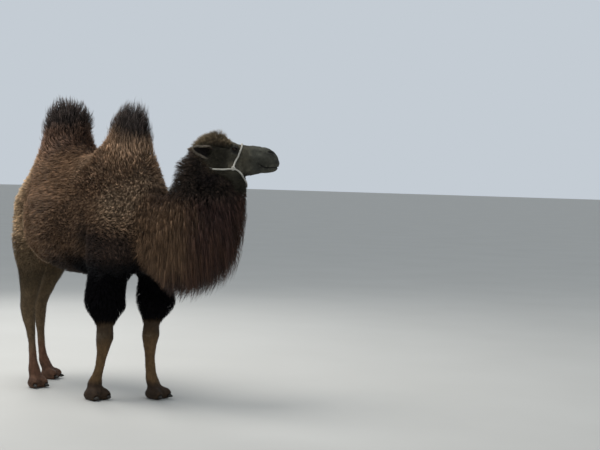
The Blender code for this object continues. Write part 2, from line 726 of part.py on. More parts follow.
NAIL_SIZE = Vector((0.030, 0.020, 0.018))
NAIL_LOWEST = 0.004
for name, (_, _, length) in FEET.items():
    for word, side in (("outer", 1), ("inner", -1)):
        leg = nodes["leg_" + name]
        across = side if "left" in name else -side
        at = (length * 0.53, across * length * 0.19, 0.024)
        place = toe_place(name, across)
        nail = ball("nail_" + name + "_" + word, at, NAIL_SIZE, place, 8)
        seat = ball("seat", at, NAIL_SIZE + Vector((CLEARANCE,) * 3), place, 8)
        ground = block("ground", (-FAR, -FAR, -FAR), (FAR, FAR, NAIL_LOWEST))
        boolean(nail, ground, "DIFFERENCE")
        boolean(leg, seat, "DIFFERENCE")
        drop(seat, ground)
        nodes[nail.name] = nail

# ---------------------------------------------------------------- looks, and the origin below the middle
COATS = {
    "head": (0.045, 0.032, 0.024),
    "neck": (0.050, 0.033, 0.022),
    "hump": (0.075, 0.050, 0.034),
    "trunk": (0.085, 0.056, 0.036),
    "tail": (0.040, 0.026, 0.018),
    "leg": (0.060, 0.042, 0.028),
    "ear": (0.070, 0.050, 0.036),
    "eye": (0.006, 0.004, 0.003),
    "nail": (0.050, 0.042, 0.034),
    "halter": (0.620, 0.580, 0.500),
    "knot": (0.620, 0.580, 0.500),
}
for name, obj in nodes.items():
    look = bpy.data.materials.new(name)
    look.use_nodes = True
    shader = look.node_tree.nodes["Principled BSDF"]
    shader.inputs["Base Color"].default_value = (*COATS[name.split("_")[0]], 1)
    shader.inputs["Roughness"].default_value = 0.06 if name.startswith("eye") else 0.85
    shader.inputs["Metallic"].default_value = 0.0
    obj.data.materials.clear()
    obj.data.materials.append(look)

corners = [v.co for obj in nodes.values() for v in obj.data.vertices]
low = Vector([min(c[i] for c in corners) for i in range(3)])
high = Vector([max(c[i] for c in corners) for i in range(3)])
middle = Vector(((low.x + high.x) / 2, (low.y + high.y) / 2, 0))
stand = bpy.data.objects.new("camel", None)  # carries the nodes
bpy.context.scene.collection.objects.link(stand)
for obj in nodes.values():
    own = sum((Vector(corner) for corner in obj.bound_box), Vector()) / 8
    obj.data.transform(Matrix.Translation(-own))
    obj.location = own - middle
    obj.parent = stand
    obj.data.shade_smooth()
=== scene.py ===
# %% [markdown]
# # A bactrian camel bull in winter coat
# The camel stands life size with its head turned to its left, in a rope halter with no lead. The packed
# model gives its solid form, out to the tips of the hair. Here a skin is laid inside that form, and the
# coat is grown on the skin as solid tufts: wool on the trunk, a hanging mane, brushes on the humps,
# sleeves over the forearms, and short flat hair on the face and lower legs.

# %% Load the frame
import math

import bmesh
import bpy
import numpy as np
from mathutils import Matrix, Vector
from mathutils.bvhtree import BVHTree
from mathutils.kdtree import KDTree


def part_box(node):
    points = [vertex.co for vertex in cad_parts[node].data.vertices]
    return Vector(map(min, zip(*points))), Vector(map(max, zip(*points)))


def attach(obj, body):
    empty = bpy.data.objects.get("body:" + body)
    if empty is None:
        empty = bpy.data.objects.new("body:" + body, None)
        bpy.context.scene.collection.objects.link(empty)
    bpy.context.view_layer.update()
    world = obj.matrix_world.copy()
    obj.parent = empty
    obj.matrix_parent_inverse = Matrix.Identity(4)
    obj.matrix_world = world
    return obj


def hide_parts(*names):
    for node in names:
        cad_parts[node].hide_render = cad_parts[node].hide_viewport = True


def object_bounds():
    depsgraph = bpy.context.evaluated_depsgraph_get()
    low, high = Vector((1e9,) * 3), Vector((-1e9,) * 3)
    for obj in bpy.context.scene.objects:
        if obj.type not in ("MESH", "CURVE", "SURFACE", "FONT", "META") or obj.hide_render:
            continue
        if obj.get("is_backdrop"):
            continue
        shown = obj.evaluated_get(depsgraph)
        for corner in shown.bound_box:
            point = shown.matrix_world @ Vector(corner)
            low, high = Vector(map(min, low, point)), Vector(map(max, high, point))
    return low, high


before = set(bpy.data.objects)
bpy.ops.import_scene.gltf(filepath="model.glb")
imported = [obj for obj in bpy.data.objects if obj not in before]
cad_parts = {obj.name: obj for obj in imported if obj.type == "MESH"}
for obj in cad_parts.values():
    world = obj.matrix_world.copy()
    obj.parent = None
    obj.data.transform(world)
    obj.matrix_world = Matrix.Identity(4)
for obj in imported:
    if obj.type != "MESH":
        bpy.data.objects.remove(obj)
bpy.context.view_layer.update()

SCENE = bpy.context.scene
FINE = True

# %% [markdown]
# The head is turned, so its details are placed in a frame of its own: u runs forward to the nose, v to
# the camel's left and w up. The two eyeballs of the solid model fix that frame exactly, which is safer
# than repeating the pose as numbers.

# %% The head's frame
EYE_FORWARD, EYE_ABOVE = 0.233, 0.036  # the eyes, from the point between the ears
NOSE_DIP = math.radians(1)


def middle_of(node):
    low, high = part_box(node)
    return (low + high) / 2


eye_left, eye_right = middle_of("eye_left"), middle_of("eye_right")
across = (eye_left - eye_right).normalized()
ahead = across.cross(Vector((0, 0, 1))).normalized()
turned = Matrix((ahead, across, Vector((0, 0, 1)))).transposed() @ Matrix.Rotation(NOSE_DIP, 3, "Y")
HEAD = Matrix.Translation((eye_left + eye_right) / 2) @ turned.to_4x4()
HEAD = HEAD @ Matrix.Translation((-EYE_FORWARD, 0, -EYE_ABOVE))
HEAD_TURN = np.array(HEAD.to_3x3())
HEAD_AT = np.array(HEAD.translation)
SPINE_Y = middle_of("tail").y
print("head at", [round(x, 3) for x in HEAD_AT])


def to_head(points):
    """Row-frame points as u, v, w."""
    return (points - HEAD_AT) @ HEAD_TURN


def from_head(points):
    return np.asarray(points) @ HEAD_TURN.T + HEAD_AT


# %% [markdown]
# A few small helpers on arrays of points keep the sculpting readable: an eased step between two values,
# unit vectors, and a repeatable noise and clump pattern in space. The pattern comes from mixing the bits
# of a cell's whole-number place, so every run gives the same coat.

# %% Helpers on arrays of points
def ease(value, start, end):
    """0 before start, 1 after end, with a smooth step between. The two may run downwards."""
    t = np.clip((value - start) / (end - start), 0, 1)
    return t * t * (3 - 2 * t)


def unit(vectors):
    return vectors / np.maximum(np.linalg.norm(vectors, axis=-1, keepdims=True), 1e-9)


def dot(a, b):
    return (a * b).sum(-1)


def blend(a, b, share):
    share = share[:, None] if np.ndim(a) > 1 and np.ndim(share) == 1 else share
    return a + (b - a) * share


def scatter(cells, seed):
    """A repeatable number from 0 to 1 for each whole-number cell."""
    x, y, z = (cells[..., k] for k in range(3))
    mixed = x * 73856093 ^ y * 19349663 ^ z * 83492791 ^ (seed * 40503 + 7)
    mixed = (mixed ^ (mixed >> 15)) * 2246822519 & 0xFFFFFFFF
    mixed = (mixed ^ (mixed >> 13)) * 3266489917 & 0xFFFFFFFF
    return ((mixed ^ (mixed >> 16)) & 0xFFFFFF) / 0xFFFFFF


CORNERS = np.array([(i, j, k) for i in (0, 1) for j in (0, 1) for k in (0, 1)])
AROUND = np.array([(i, j, k) for i in (-1, 0, 1) for j in (-1, 0, 1) for k in (-1, 0, 1)])


def noise(points, size, seed):
    """Smooth noise from -1 to 1 with features of about this size."""
    cell = np.floor(points / size).astype(np.int64)
    part = points / size - cell
    part = part * part * (3 - 2 * part)
    total = 0
    for corner in CORNERS:
        weight = np.prod(np.where(corner, part, 1 - part), axis=1)
        total = total + weight * scatter(cell + corner, seed)
    return 2 * total - 1


def clumps(points, size, seed):
    """Each point's clump: its centre, a number from 0 to 1 of its own, and how far off it the point is."""
    cell = np.floor(points / size).astype(np.int64)
    best, centre, number = np.full(len(points), 9e9), points.copy(), np.zeros(len(points))
    for step in AROUND:
        near = cell + step
        spot = np.stack([scatter(near, seed + k) for k in range(3)], 1)
        spot = (near + 0.1 + 0.8 * spot) * size
        away = ((points - spot) ** 2).sum(1)
        closer = away < best
        best = np.where(closer, away, best)
        centre[closer] = spot[closer]
        number[closer] = scatter(near[closer], seed + 9)
    return centre, number, np.sqrt(best) / size


class Surface:
    """A mesh as arrays of points, triangles and edges."""

    def __init__(self, mesh):
        self.mesh = mesh
        self.points = self.read(mesh.vertices, "co", 3)
        mesh.calc_loop_triangles()
        self.triangles = self.read(mesh.loop_triangles, "vertices", 3, np.int32)
        self.edges = self.read(mesh.edges, "vertices", 2, np.int32)

    @staticmethod
    def read(items, name, width, kind=np.float32):
        values = np.empty(len(items) * width, kind)
        items.foreach_get(name, values)
        return values.reshape(-1, width).astype(float if kind == np.float32 else int)

    def gather(self, index, values):
        return np.stack([np.bincount(index, values[:, k], len(self.points)) for k in range(3)], 1)

    def normals(self):
        a, b, c = (self.points[self.triangles[:, k]] for k in range(3))
        return unit(self.gather(self.triangles.ravel(), np.repeat(np.cross(b - a, c - a), 3, axis=0)))

    def relax(self, share, times):
        """Moves each point towards the middle of its neighbours, by a share that may vary over the mesh."""
        a, b = self.edges.T
        count = np.maximum(np.bincount(self.edges.ravel(), minlength=len(self.points)), 1)[:, None]
        share = np.broadcast_to(share, len(self.points))[:, None]
        for _ in range(times):
            total = self.gather(a, self.points[b]) + self.gather(b, self.points[a])
            self.points += (total / count - self.points) * share
        return self

    def write(self):
        self.mesh.vertices.foreach_set("co", self.points.astype(np.float32).ravel())
        self.mesh.update()


def new_piece(name, mesh_or_bm):
    """A new object at the origin, from a mesh or a bmesh."""
    if isinstance(mesh_or_bm, bmesh.types.BMesh):
        mesh = bpy.data.meshes.new(name)
        mesh_or_bm.to_mesh(mesh)
        mesh_or_bm.free()
    else:
        mesh = mesh_or_bm
    made = bpy.data.objects.new(name, mesh)
    SCENE.collection.objects.link(made)
    return made


def in_order(bm):
    """Sorts the faces, which some operators leave in another order each time."""
    order = Vector((1, 0.37, 0.11))
    bm.faces.sort(key=lambda face: face.calc_center_median().dot(order))


def settle(obj):
    """Makes the object's modifiers part of its mesh."""
    graph = bpy.context.evaluated_depsgraph_get()
    mesh = bpy.data.meshes.new_from_object(obj.evaluated_get(graph))
    obj.modifiers.clear()
    obj.data = mesh
    return obj


# %% [markdown]
# The skin starts as the whole solid form. Each part of flesh is copied, its corners are merged, and it is
# grown by a millimetre so that neighbours overlap. A voxel remesh then melts them into one closed skin,
# which no seam crosses. It is thinned where the wool will hide it and left fine on the head, and the head
# is subdivided again so that lids and nostrils can be shaped.

# %% Melt the parts into one skin
LEGS = ["leg_front_left", "leg_front_right", "leg_hind_left", "leg_hind_right"]
FLESH = ["head", "neck", "trunk", "hump_front", "hump_rear", "tail", *LEGS]
OVERLAP = 0.001
VOXEL = 0.009


def merged_copy(node, grow=0.0):
    """A bmesh of a solid node with its corners merged, grown along its normals."""
    bm = bmesh.new()
    bm.from_mesh(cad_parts[node].data)
    bmesh.ops.remove_doubles(bm, verts=bm.verts, dist=1e-5)
    bmesh.ops.recalc_face_normals(bm, faces=bm.faces)
    bm.normal_update()
    for v in bm.verts:
        v.co += v.normal * grow
    return bm


def add_to(whole, part):
    """Adds one bmesh to another and frees it."""
    step = bpy.data.meshes.new("step")
    part.to_mesh(step)
    part.free()
    whole.from_mesh(step)
    bpy.data.meshes.remove(step)


whole = bmesh.new()
for node in [*FLESH, "eye_left", "eye_right"]:
    add_to(whole, merged_copy(node, OVERLAP))
skin = new_piece("skin", whole)
melt = skin.modifiers.new("melt", "REMESH")
melt.mode = "VOXEL"
melt.voxel_size = VOXEL
soften = skin.modifiers.new("soften", "SMOOTH")
soften.factor = 0.5
soften.iterations = 8
settle(skin)
print("melted", len(skin.data.polygons), "faces")

# %% Thin the body
def inside(places, low, high):
    """Which places are in a box."""
    return np.all((places > low) & (places < high), axis=1)


form = Surface(skin.data)
x, y, z = form.points.T
on_face = inside(to_head(form.points), (-0.02, -0.25, -0.22), (0.7, 0.25, 0.2))
in_folds = (z < 1.45) & ((abs(x + 0.62) < 0.22) | (abs(x - 0.08) < 0.14))
finer = (z < 0.72) | in_folds
thinned = skin.vertex_groups.new(name="thinned")
for weight, chosen in ((1.0, ~on_face & ~finer), (0.0, on_face), (0.3, finer & ~on_face)):
    thinned.add(np.flatnonzero(chosen).tolist(), weight, "REPLACE")
thin = skin.modifiers.new("thin", "DECIMATE")
thin.vertex_group = "thinned"
thin.ratio = 0.19
settle(skin)
print("thinned", len(skin.data.polygons), "faces")


# %% Refine the head
def refine(bm, near):
    """Splits the edges whose two ends are both near."""
    chosen = near(to_head(np.array([v.co for v in bm.verts])))
    bm.verts.ensure_lookup_table()
    edges = [e for e in bm.edges if chosen[e.verts[0].index] and chosen[e.verts[1].index]]
    bmesh.ops.subdivide_edges(bm, edges=edges, cuts=1, use_grid_fill=True)
    bm.verts.index_update()


def near_eyes(places, radius):
    u, v, w = places.T
    return ((u - EYE_FORWARD) ** 2 + (w - EYE_ABOVE) ** 2 < radius**2) & (abs(v) > 0.04)


bm = bmesh.new()
bm.from_mesh(skin.data)
refine(bm, lambda places: inside(places, (0.12, -0.2, -0.2), (0.7, 0.2, 0.12)))  # the whole face
refine(bm, lambda places: inside(places, (0.395, -0.2, -0.16), (0.7, 0.2, 0.1)))  # nose and mouth
refine(bm, lambda places: near_eyes(places, 0.050))
refine(bm, lambda places: near_eyes(places, 0.034))
bmesh.ops.triangulate(bm, faces=[f for f in bm.faces if len(f.verts) > 4])
bm.to_mesh(skin.data)
bm.free()
form = Surface(skin.data)
u, v, w = to_head(form.points).T
form.relax(0.5 * ease(u, 0.06, 0.16) * (abs(v) < 0.2) * (w > -0.25), 6)
print("skin", len(form.points), "points", len(form.triangles), "triangles")

# %% [markdown]
# The solid form is the outside of the coat, so the skin lies under it by the depth of the hair: a few
# millimetres on the face and shins, a hand's breadth under the brushes of the humps. One function gives
# that depth from the place and the direction that the surface faces. The mane hangs far below the flesh
# of the neck, so its lower edge is first drawn up to where the throat would be.

# %% How deep the coat is
HUMP_MIDDLES = {name: middle_of(name) for name in ("hump_rear", "hump_front")}
HUMP_TOPS = {name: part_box(name)[1].z for name in HUMP_MIDDLES}
NECK_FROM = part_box("neck")[0].x
MANE_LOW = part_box("neck")[0].z
TAIL_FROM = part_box("tail")[1].x
SLEEVE_HEM = 0.585  # the lower edge of the long hair on the forearm
THROAT_LOW = 1.02  # where the flesh of the neck ends below


class Places:
    """Where points lie on the camel, as shares from 0 to 1 of the regions that its coat differs in."""

    def __init__(self, points, normals):
        self.points, self.normals = points, normals
        self.x, self.y, self.z = points.T
        self.u, self.v, self.w = to_head(points).T
        self.side = self.y - SPINE_Y
        in_head = ease(self.u + 0.9 * self.w, -0.09, 0.0) * ease(self.z, 1.50, 1.56)
        self.head = in_head * ease(self.u, -0.10, -0.04) * (np.abs(self.v) < 0.22)
        throat = ease(self.w, -0.10, -0.17) * ease(self.u, 0.40, 0.30)
        self.face = self.head * ease(self.u, 0.14, 0.24) * (1 - 0.8 * throat)
        self.throat = self.head * throat
        self.topknot = self.head * ease(self.w, 0.050, 0.080) * ease(self.u, 0.215, 0.195)
        self.neck = ease(self.x, NECK_FROM, NECK_FROM + 0.10) * (1 - self.head)
        self.tail = (self.x < TAIL_FROM + 0.01) * ease(self.z, 1.47, 1.40) * (np.abs(self.side) < 0.07)
        hump = 0
        crown = 0
        for name, middle in HUMP_MIDDLES.items():
            near = ease(np.abs(self.x - middle.x), 0.36, 0.30)
            hump = np.maximum(hump, near * ease(self.z, 1.70, 1.84))
            crown = np.maximum(crown, near * ease(self.z, HUMP_TOPS[name] - 0.27, HUMP_TOPS[name] - 0.09))
        self.hump, self.crown = hump * (1 - self.neck - self.head), crown * (1 - self.neck - self.head)
        fore = (self.x > -0.10) & (self.x < 0.47)
        hind = (self.x < -0.45) & (self.tail < 0.5)
        self.sleeve = fore * ease(self.z, 1.00, 0.86) * ease(self.z, SLEEVE_HEM - 0.015, SLEEVE_HEM + 0.03)
        self.shin = fore * ease(self.z, SLEEVE_HEM + 0.02, SLEEVE_HEM - 0.03)
        self.thigh = hind * ease(self.z, 1.12, 0.92)
        self.gaskin = hind * ease(self.z, 0.86, 0.70)
        self.foot = (fore | hind) * ease(self.z, 0.16, 0.11)
        under = ease(-normals[:, 2], 0.3, 0.8) * ease(self.z, 1.15, 1.0)
        self.belly = under * (np.abs(self.x) < 0.5) * (self.neck < 0.5)


def coat_depth(at):
    """From the skin to the tips of the hair, in metres."""
    depth = np.full(len(at.x), 0.036)
    for share, value in (
        (at.belly, 0.030),
        (at.hump, 0.036),
        (at.crown, 0.070),
        (at.neck, 0.060),
        (at.head, 0.022),
        (at.throat, 0.030),
        (at.face, 0.0045),
        (at.topknot, 0.045),
        (at.sleeve, 0.055),
        (at.shin, 0.006),
        (at.thigh, 0.016),
        (at.gaskin, 0.007),
        (at.foot, 0.004),
        (at.tail, 0.014),
    ):
        depth = blend(depth, value, share)
    return depth


# %% [markdown]
# The solid form is made of broad facets, and hair laid over them would show each edge as a crease. Plain
# smoothing would also shrink the legs and humps, so each round of it is followed by one that grows the
# surface back by a little more. Facets go and the volume stays.

# %% Even out the facets
EVENING = 36  # rounds of shrinking and growing back, which flatten facets and keep the volume
at = Places(form.points, form.normals())
even = (1 - at.head) * ease(at.z, 0.60, 0.80)
for _ in range(EVENING):
    form.relax(0.50 * even, 1)
    form.relax(-0.53 * even, 1)
print("evened", int((even > 0).sum()), "points")

# %% [markdown]
# A bull in winter coat looks upholstered: the barrel bulges over the thigh with a deep fold between them,
# and a softer one runs behind the upper arm. Both are drawn as lines up the flank, where the surface is
# pushed out on one side and in on the other. As the hair follows the surface, it folds with it.

# %% Fold the coat behind the barrel and the shoulder
BARREL_END = (  # heights, and how far forward the barrel ends at them
    (0.88, 0.95, 1.04, 1.14, 1.22, 1.32, 1.45),
    (-0.41, -0.52, -0.58, -0.645, -0.69, -0.69, -0.66),
)
ARM_END = (  # the same for the back of the upper arm
    (0.90, 0.97, 1.05, 1.12, 1.20, 1.27, 1.36),
    (-0.03, 0.0, 0.055, 0.09, 0.113, 0.13, 0.13),
)


def ridge(distance, width):
    """1 on a line, falling to 0 at this distance from it."""
    return np.clip(1 - (distance / width) ** 2, 0, 1) ** 2


def oval(across, up, long, high):
    """1 in the middle of an oval, falling to 0 at its edge."""
    return ridge(np.hypot(across / long, up / high), 1)


x, y, z = form.points.T
flank = ease(np.abs(y - SPINE_Y), 0.16, 0.28) * (1 - at.head) * (1 - at.neck)
behind = np.interp(z, *BARREL_END) - x
fold = 0.016 * ridge(behind + 0.045, 0.07) - 0.034 * ridge(behind - 0.024, 0.045)
push = (fold - 0.012 * ridge(behind - 0.09, 0.10)) * ease(z, 1.46, 1.30) * ease(z, 0.86, 0.93)
behind = np.interp(z, *ARM_END) - x
fold = 0.012 * ridge(behind + 0.050, 0.07) - 0.024 * ridge(behind - 0.020, 0.045)
push = push + fold * ease(z, 1.40, 1.24)
form.points += form.normals() * (push * flank)[:, None]
print("folds", round(float(push.max()) * 1000), "mm out,", round(float(-push.min()) * 1000), "mm in")

# %% [markdown]
# The skin now goes in from the outside of the coat by the depth that was worked out. One long step would
# turn tight places inside out, so it takes short ones and relaxes between them. What lies between the skin
# and the old surface is kept for each point, because the hair has to reach that far.

# %% Lay the skin inside the form
STEPS = 6
outside = form.points.copy()
at = Places(outside, form.normals())
depth = coat_depth(at)
hanging = at.neck * ease(at.z, 1.30, 1.0)
raised = THROAT_LOW + (at.z - MANE_LOW) * (1.30 - THROAT_LOW) / (1.30 - MANE_LOW)
form.points[:, 2] = np.where((at.neck > 0) & (at.z < 1.30), blend(at.z, raised, at.neck), at.z)
form.relax(0.5 * hanging, 5)
for _ in range(STEPS):
    form.points -= form.normals() * (depth / STEPS)[:, None]
    form.relax(0.35 * ease(depth, 0.012, 0.03), 2)
for _ in range(3):  # in hollows the relaxing draws the skin back out
    short = np.maximum(0.8 * depth - dot(outside - form.points, at.normals), 0)
    form.points -= at.normals * short[:, None]
    form.relax(0.3 * ease(depth, 0.012, 0.03), 1)
lift = outside - form.points  # from each point of the skin to the tips of the hair over it
reached = 1000 * np.linalg.norm(lift, axis=1)
print("coat depth", np.round(np.percentile(reached, (1, 25, 50, 75, 99)), 1), "mm")

# %% [markdown]
# The face is sculpted by moving the points of the skin in the head's frame. Each lid is a thin shell over
# the eyeball with an almond opening, a crease above and a pouch below. Separate lids would leave a seam
# round the eye, so they are shaped in the skin itself.

# %% Sculpt the lids
BALL = 0.0215  # radius of the eyeballs in the solid model
LID = 0.0028
OPENING = (0.0200, 0.0128, 0.0104)  # half-length, and reach above and below
TILT = math.radians(-9)  # the opening's front corner is the lower one
face = to_head(form.points)
facing = form.normals() @ HEAD_TURN

for side, ball in ((1, eye_left), (-1, eye_right)):
    eye_u, eye_v, eye_w = to_head(np.array([ball]))[0]
    near = (face[:, 1] * side > 0.04) & (np.hypot(face[:, 0] - eye_u, face[:, 2] - eye_w) < 0.07)
    a, b = face[near, 0] - eye_u, face[near, 2] - eye_w
    a, b = a * math.cos(TILT) + b * math.sin(TILT), b * math.cos(TILT) - a * math.sin(TILT)
    out = face[near, 1] * side
    away = np.hypot(a, b)
    dome = np.sqrt(np.maximum((BALL + LID) ** 2 - away**2, 0)) + side * eye_v
    lid = np.maximum(dome, out)
    lid = blend(lid, out, ease(away, BALL * 0.95, BALL * 1.9))
    reach = np.where(b > 0, OPENING[1], OPENING[2]) * np.sqrt(np.maximum(1 - (a / 0.024) ** 2, 0.02))
    from_middle = (a / OPENING[0]) ** 2 + (b / reach) ** 2  # 1 at the opening's edge
    rim = ridge(from_middle - 1.25, 0.55) * 0.0012
    brow = 0.0075 * ridge(np.hypot(a * 0.50, b - 0.033), 0.019)
    crease = -0.0036 * ridge(np.hypot(a * 0.5, b - 0.0190 + 5 * a * a), 0.0046)
    pouch = 0.0020 * ridge(np.hypot(a * 0.45, b + 0.022), 0.007)
    pouch -= 0.0020 * ridge(np.hypot(a * 0.45, b + 0.0165 - 6 * a * a), 0.0045)
    tear = -0.0030 * ridge(np.hypot((a - 0.027) * 0.5, (b + 0.006) * 1.6), 0.009)
    lid = lid + rim + brow + crease + pouch + tear
    opened = ease(from_middle, 1.02, 0.80)
    under = np.sqrt(np.maximum((BALL - 0.005) ** 2 - away**2, 0)) + side * eye_v
    face[near, 1] = side * blend(lid, under, opened)
print("lids", int(near.sum()), "points each")

# %% [markdown]
# The rest of the face is rises and grooves, each an oval or a line with a soft edge, added up and pushed
# along the surface: slit, hood and flare of the nostril, the cheekbone, the jowl, and the hollows between.

# %% Sculpt the nose and the cheeks
u, v, w = face.T
push = np.zeros(len(face))  # along the surface, outwards
for side in (1, -1):
    on_side = v * side > 0.005
    along = u - 0.497
    rise = w - 0.024 + 0.22 * along + 5.0 * along**2
    slit = oval(along, rise, 0.03105, 0.00667)
    hood = oval(along, rise - 0.011, 0.036, 0.0070)
    flare = oval(along, rise + 0.013, 0.036, 0.0085)
    trough = oval(u - 0.545, w + 0.020 - 0.6 * (0.545 - u), 0.030, 0.006)
    push += on_side * (-0.017 * slit + 0.0050 * hood + 0.0040 * flare - 0.0035 * trough)
    cheekbone = oval(u - 0.265, w + 0.022 + 0.35 * (u - 0.265), 0.095, 0.018)
    hollow = oval(u - 0.335, w + 0.050, 0.070, 0.030)
    jowl = oval(u - 0.205, w + 0.085, 0.060, 0.055)
    vein = ridge(w + 0.012 + 0.28 * (u - 0.36), 0.0045) * ease(u, 0.30, 0.33) * ease(u, 0.44, 0.41)
    push += on_side * (0.0060 * cheekbone - 0.0080 * hollow + 0.0050 * jowl + 0.0018 * vein)
    temple = oval(u - 0.190, w - 0.045, 0.030, 0.022)
    side_of_nose = ridge(w - 0.012 - 0.10 * (u - 0.36), 0.030) * ease(u, 0.28, 0.33) * ease(u, 0.46, 0.42)
    push -= on_side * (0.0055 * temple + 0.0040 * side_of_nose)

# %% [markdown]
# The mouth is a groove that droops behind the cleft upper lip, with loose folds at its corner and fine
# creases over the nose. Its line is a list of places, as no simple curve has that droop, and the markings
# use the same list later.

# %% Sculpt the mouth and the creases
MOUTH = (  # places along the head, and the height of the parting of the lips at them
    (0.395, 0.408, 0.440, 0.463, 0.500, 0.530, 0.580),
    (-0.054, -0.060, -0.078, -0.088, -0.086, -0.083, -0.080),
)
mouth = np.interp(u, *MOUTH)
lip = 0.0013 * ridge(w - mouth - 0.010, 0.008) + 0.0016 * ridge(w - mouth + 0.010, 0.008)
push += ease(u, 0.398, 0.418) * (w > -0.13) * (lip - 0.0075 * ridge(w - mouth, 0.0050))
for k in range(3):  # the loose folds behind the corner of the mouth
    bend = 0.392 - 0.016 * k + 1.1 * (w + 0.062)
    push -= 0.0016 * ridge(u - bend, 0.0045) * ridge(w + 0.062, 0.026 + 0.006 * k)
push -= 0.0040 * ridge(v, 0.0048) * ease(u, 0.530, 0.548) * (w > mouth) * ease(w, -0.02, -0.035)
for k in range(4):  # creases across the nose and above the nostril
    fold = ridge(u - 0.462 + 0.018 * k - 0.35 * (w - 0.03) * (1 - 2 * (k % 2)), 0.0050)
    push -= 0.0014 * fold * ease(w, 0.000, 0.020) * (1 - 0.15 * k)
push += (0.0018 * noise(face, 0.034, 3) + 0.0009 * noise(face, 0.012, 4)) * ease(u, 0.2, 0.3)
face += facing * (push * ease(u, 0.10, 0.16))[:, None]
form.points = from_head(face)
print("face", int((u > 0.1).sum()), "points")

# %% [markdown]
# Below the long hair the legs show what is under the skin: the pad of a knee that kneels on hard ground,
# cords of tendon behind the cannon, the point of the hock and the cleft between the toes. Each is a low
# rise or groove at a height and at an angle round the leg, measured from straight ahead.

# %% Sculpt the legs
def round_leg(node):
    """Which points are on this leg, and the angle of each round the leg, 0 ahead and pi behind."""
    low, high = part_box(node)
    p = form.points
    mine = (p[:, 2] < high.z) & (np.sign(p[:, 1] - SPINE_Y) == np.sign((low.y + high.y) / 2 - SPINE_Y))
    mine &= (p[:, 0] > low.x - 0.01) & (p[:, 0] < high.x + 0.01)
    heights = np.arange(0.02, min(high.z, 0.9), 0.02)
    centres = []
    for height in heights:
        ring = p[mine & (np.abs(p[:, 2] - height) < 0.03)]
        centres.append((ring.min(0) + ring.max(0)) / 2)
    centres = np.array(centres)
    across = np.abs(p[:, 1] - np.interp(p[:, 2], heights, centres[:, 1]))
    return mine, np.arctan2(across, p[:, 0] - np.interp(p[:, 2], heights, centres[:, 0]))


# each rise: its size, its angle and half-width round the leg, and its height and half-height
FETLOCK = (0.0040, 1.6, 0.8, 0.155, 0.035), (0.0030, math.pi, 0.6, 0.130, 0.030)
KNEE = (
    (0.0060, 0.0, 1.0, 0.465, 0.050),
    (-0.0035, 0.0, 0.9, 0.395, 0.030),
    (0.0050, 1.5, 0.5, 0.470, 0.040),
    (0.0050, math.pi, 0.5, 0.500, 0.030),
)
HOCK = (0.0070, math.pi, 0.6, 0.600, 0.040), (0.0040, 1.4, 0.5, 0.550, 0.050)
push = np.zeros(len(form.points))
height = form.points[:, 2]
for node in LEGS:
    mine, turn = round_leg(node)
    behind = math.pi - turn
    top = 0.38 if "front" in node else 0.50
    cannon = ease(height, 0.15, 0.20) * ease(height, top, top - 0.05)
    tendon = 0.0030 * ridge(behind, 0.45) - 0.0045 * ridge(behind - 0.95, 0.42)
    shape = tendon * cannon - 0.009 * ridge(turn, 0.16) * ease(height, 0.085, 0.05)  # and the toes' cleft
    if "hind" in node:  # the hollow in front of the cord of the hock
        shape -= 0.0075 * ridge(behind - 0.85, 0.40) * ease(height, 0.60, 0.65) * ease(height, 0.82, 0.72)
    for size, angle, wide, level, high in (*FETLOCK, *(KNEE if "front" in node else HOCK)):
        shape += size * ridge(turn - angle, wide) * ridge(height - level, high)
    push += mine * shape
form.points += form.normals() * push[:, None]
form.write()
print("legs", round(float(np.abs(push).max()) * 1000, 1), "mm at most")

# %% [markdown]
# The ears are leaf-shaped cups that open outwards. A grid is curled into a cup, narrow at the root and the
# tip, and given a wall; it joins the skin, and the hair round its root hides where they meet.

# %% Shape the ears
EAR_LONG, EAR_WIDE = 0.158, 0.045  # length, and half the width over the curve
EAR_WALL = 0.0045
EAR_ROOT = (0.050, 0.106, -0.006)
EAR_ALONG, EAR_OPEN = (-0.80, 0.52, 0.22), (0.50, 0.86, 0.0)


def ear_frame(side):
    root, along, opens = (Vector((u, side * v, w)) for u, v, w in (EAR_ROOT, EAR_ALONG, EAR_OPEN))
    along.normalize()
    opens = (opens - opens.dot(along) * along).normalized()
    turn = Matrix((along, opens, along.cross(opens))).transposed()
    return HEAD @ Matrix.Translation(root) @ turn.to_4x4()


def ear_curve(along):
    """The cup's radius, how far round it reaches, and its lowest line, at shares of the ear's length."""
    outline = (0, 0.2, 0.42, 0.64, 0.84, 0.95, 1), (0.85, 1.0, 0.92, 0.68, 0.36, 0.14, 0.03)
    wide = EAR_WIDE * np.interp(along, *outline)
    curl = np.radians(np.interp(along, (0, 0.3, 0.7, 1), (140, 100, 66, 40)))
    return wide / np.sin(np.minimum(curl, math.pi / 2)), curl, 0.020 * along**3 - 0.42 * EAR_WIDE


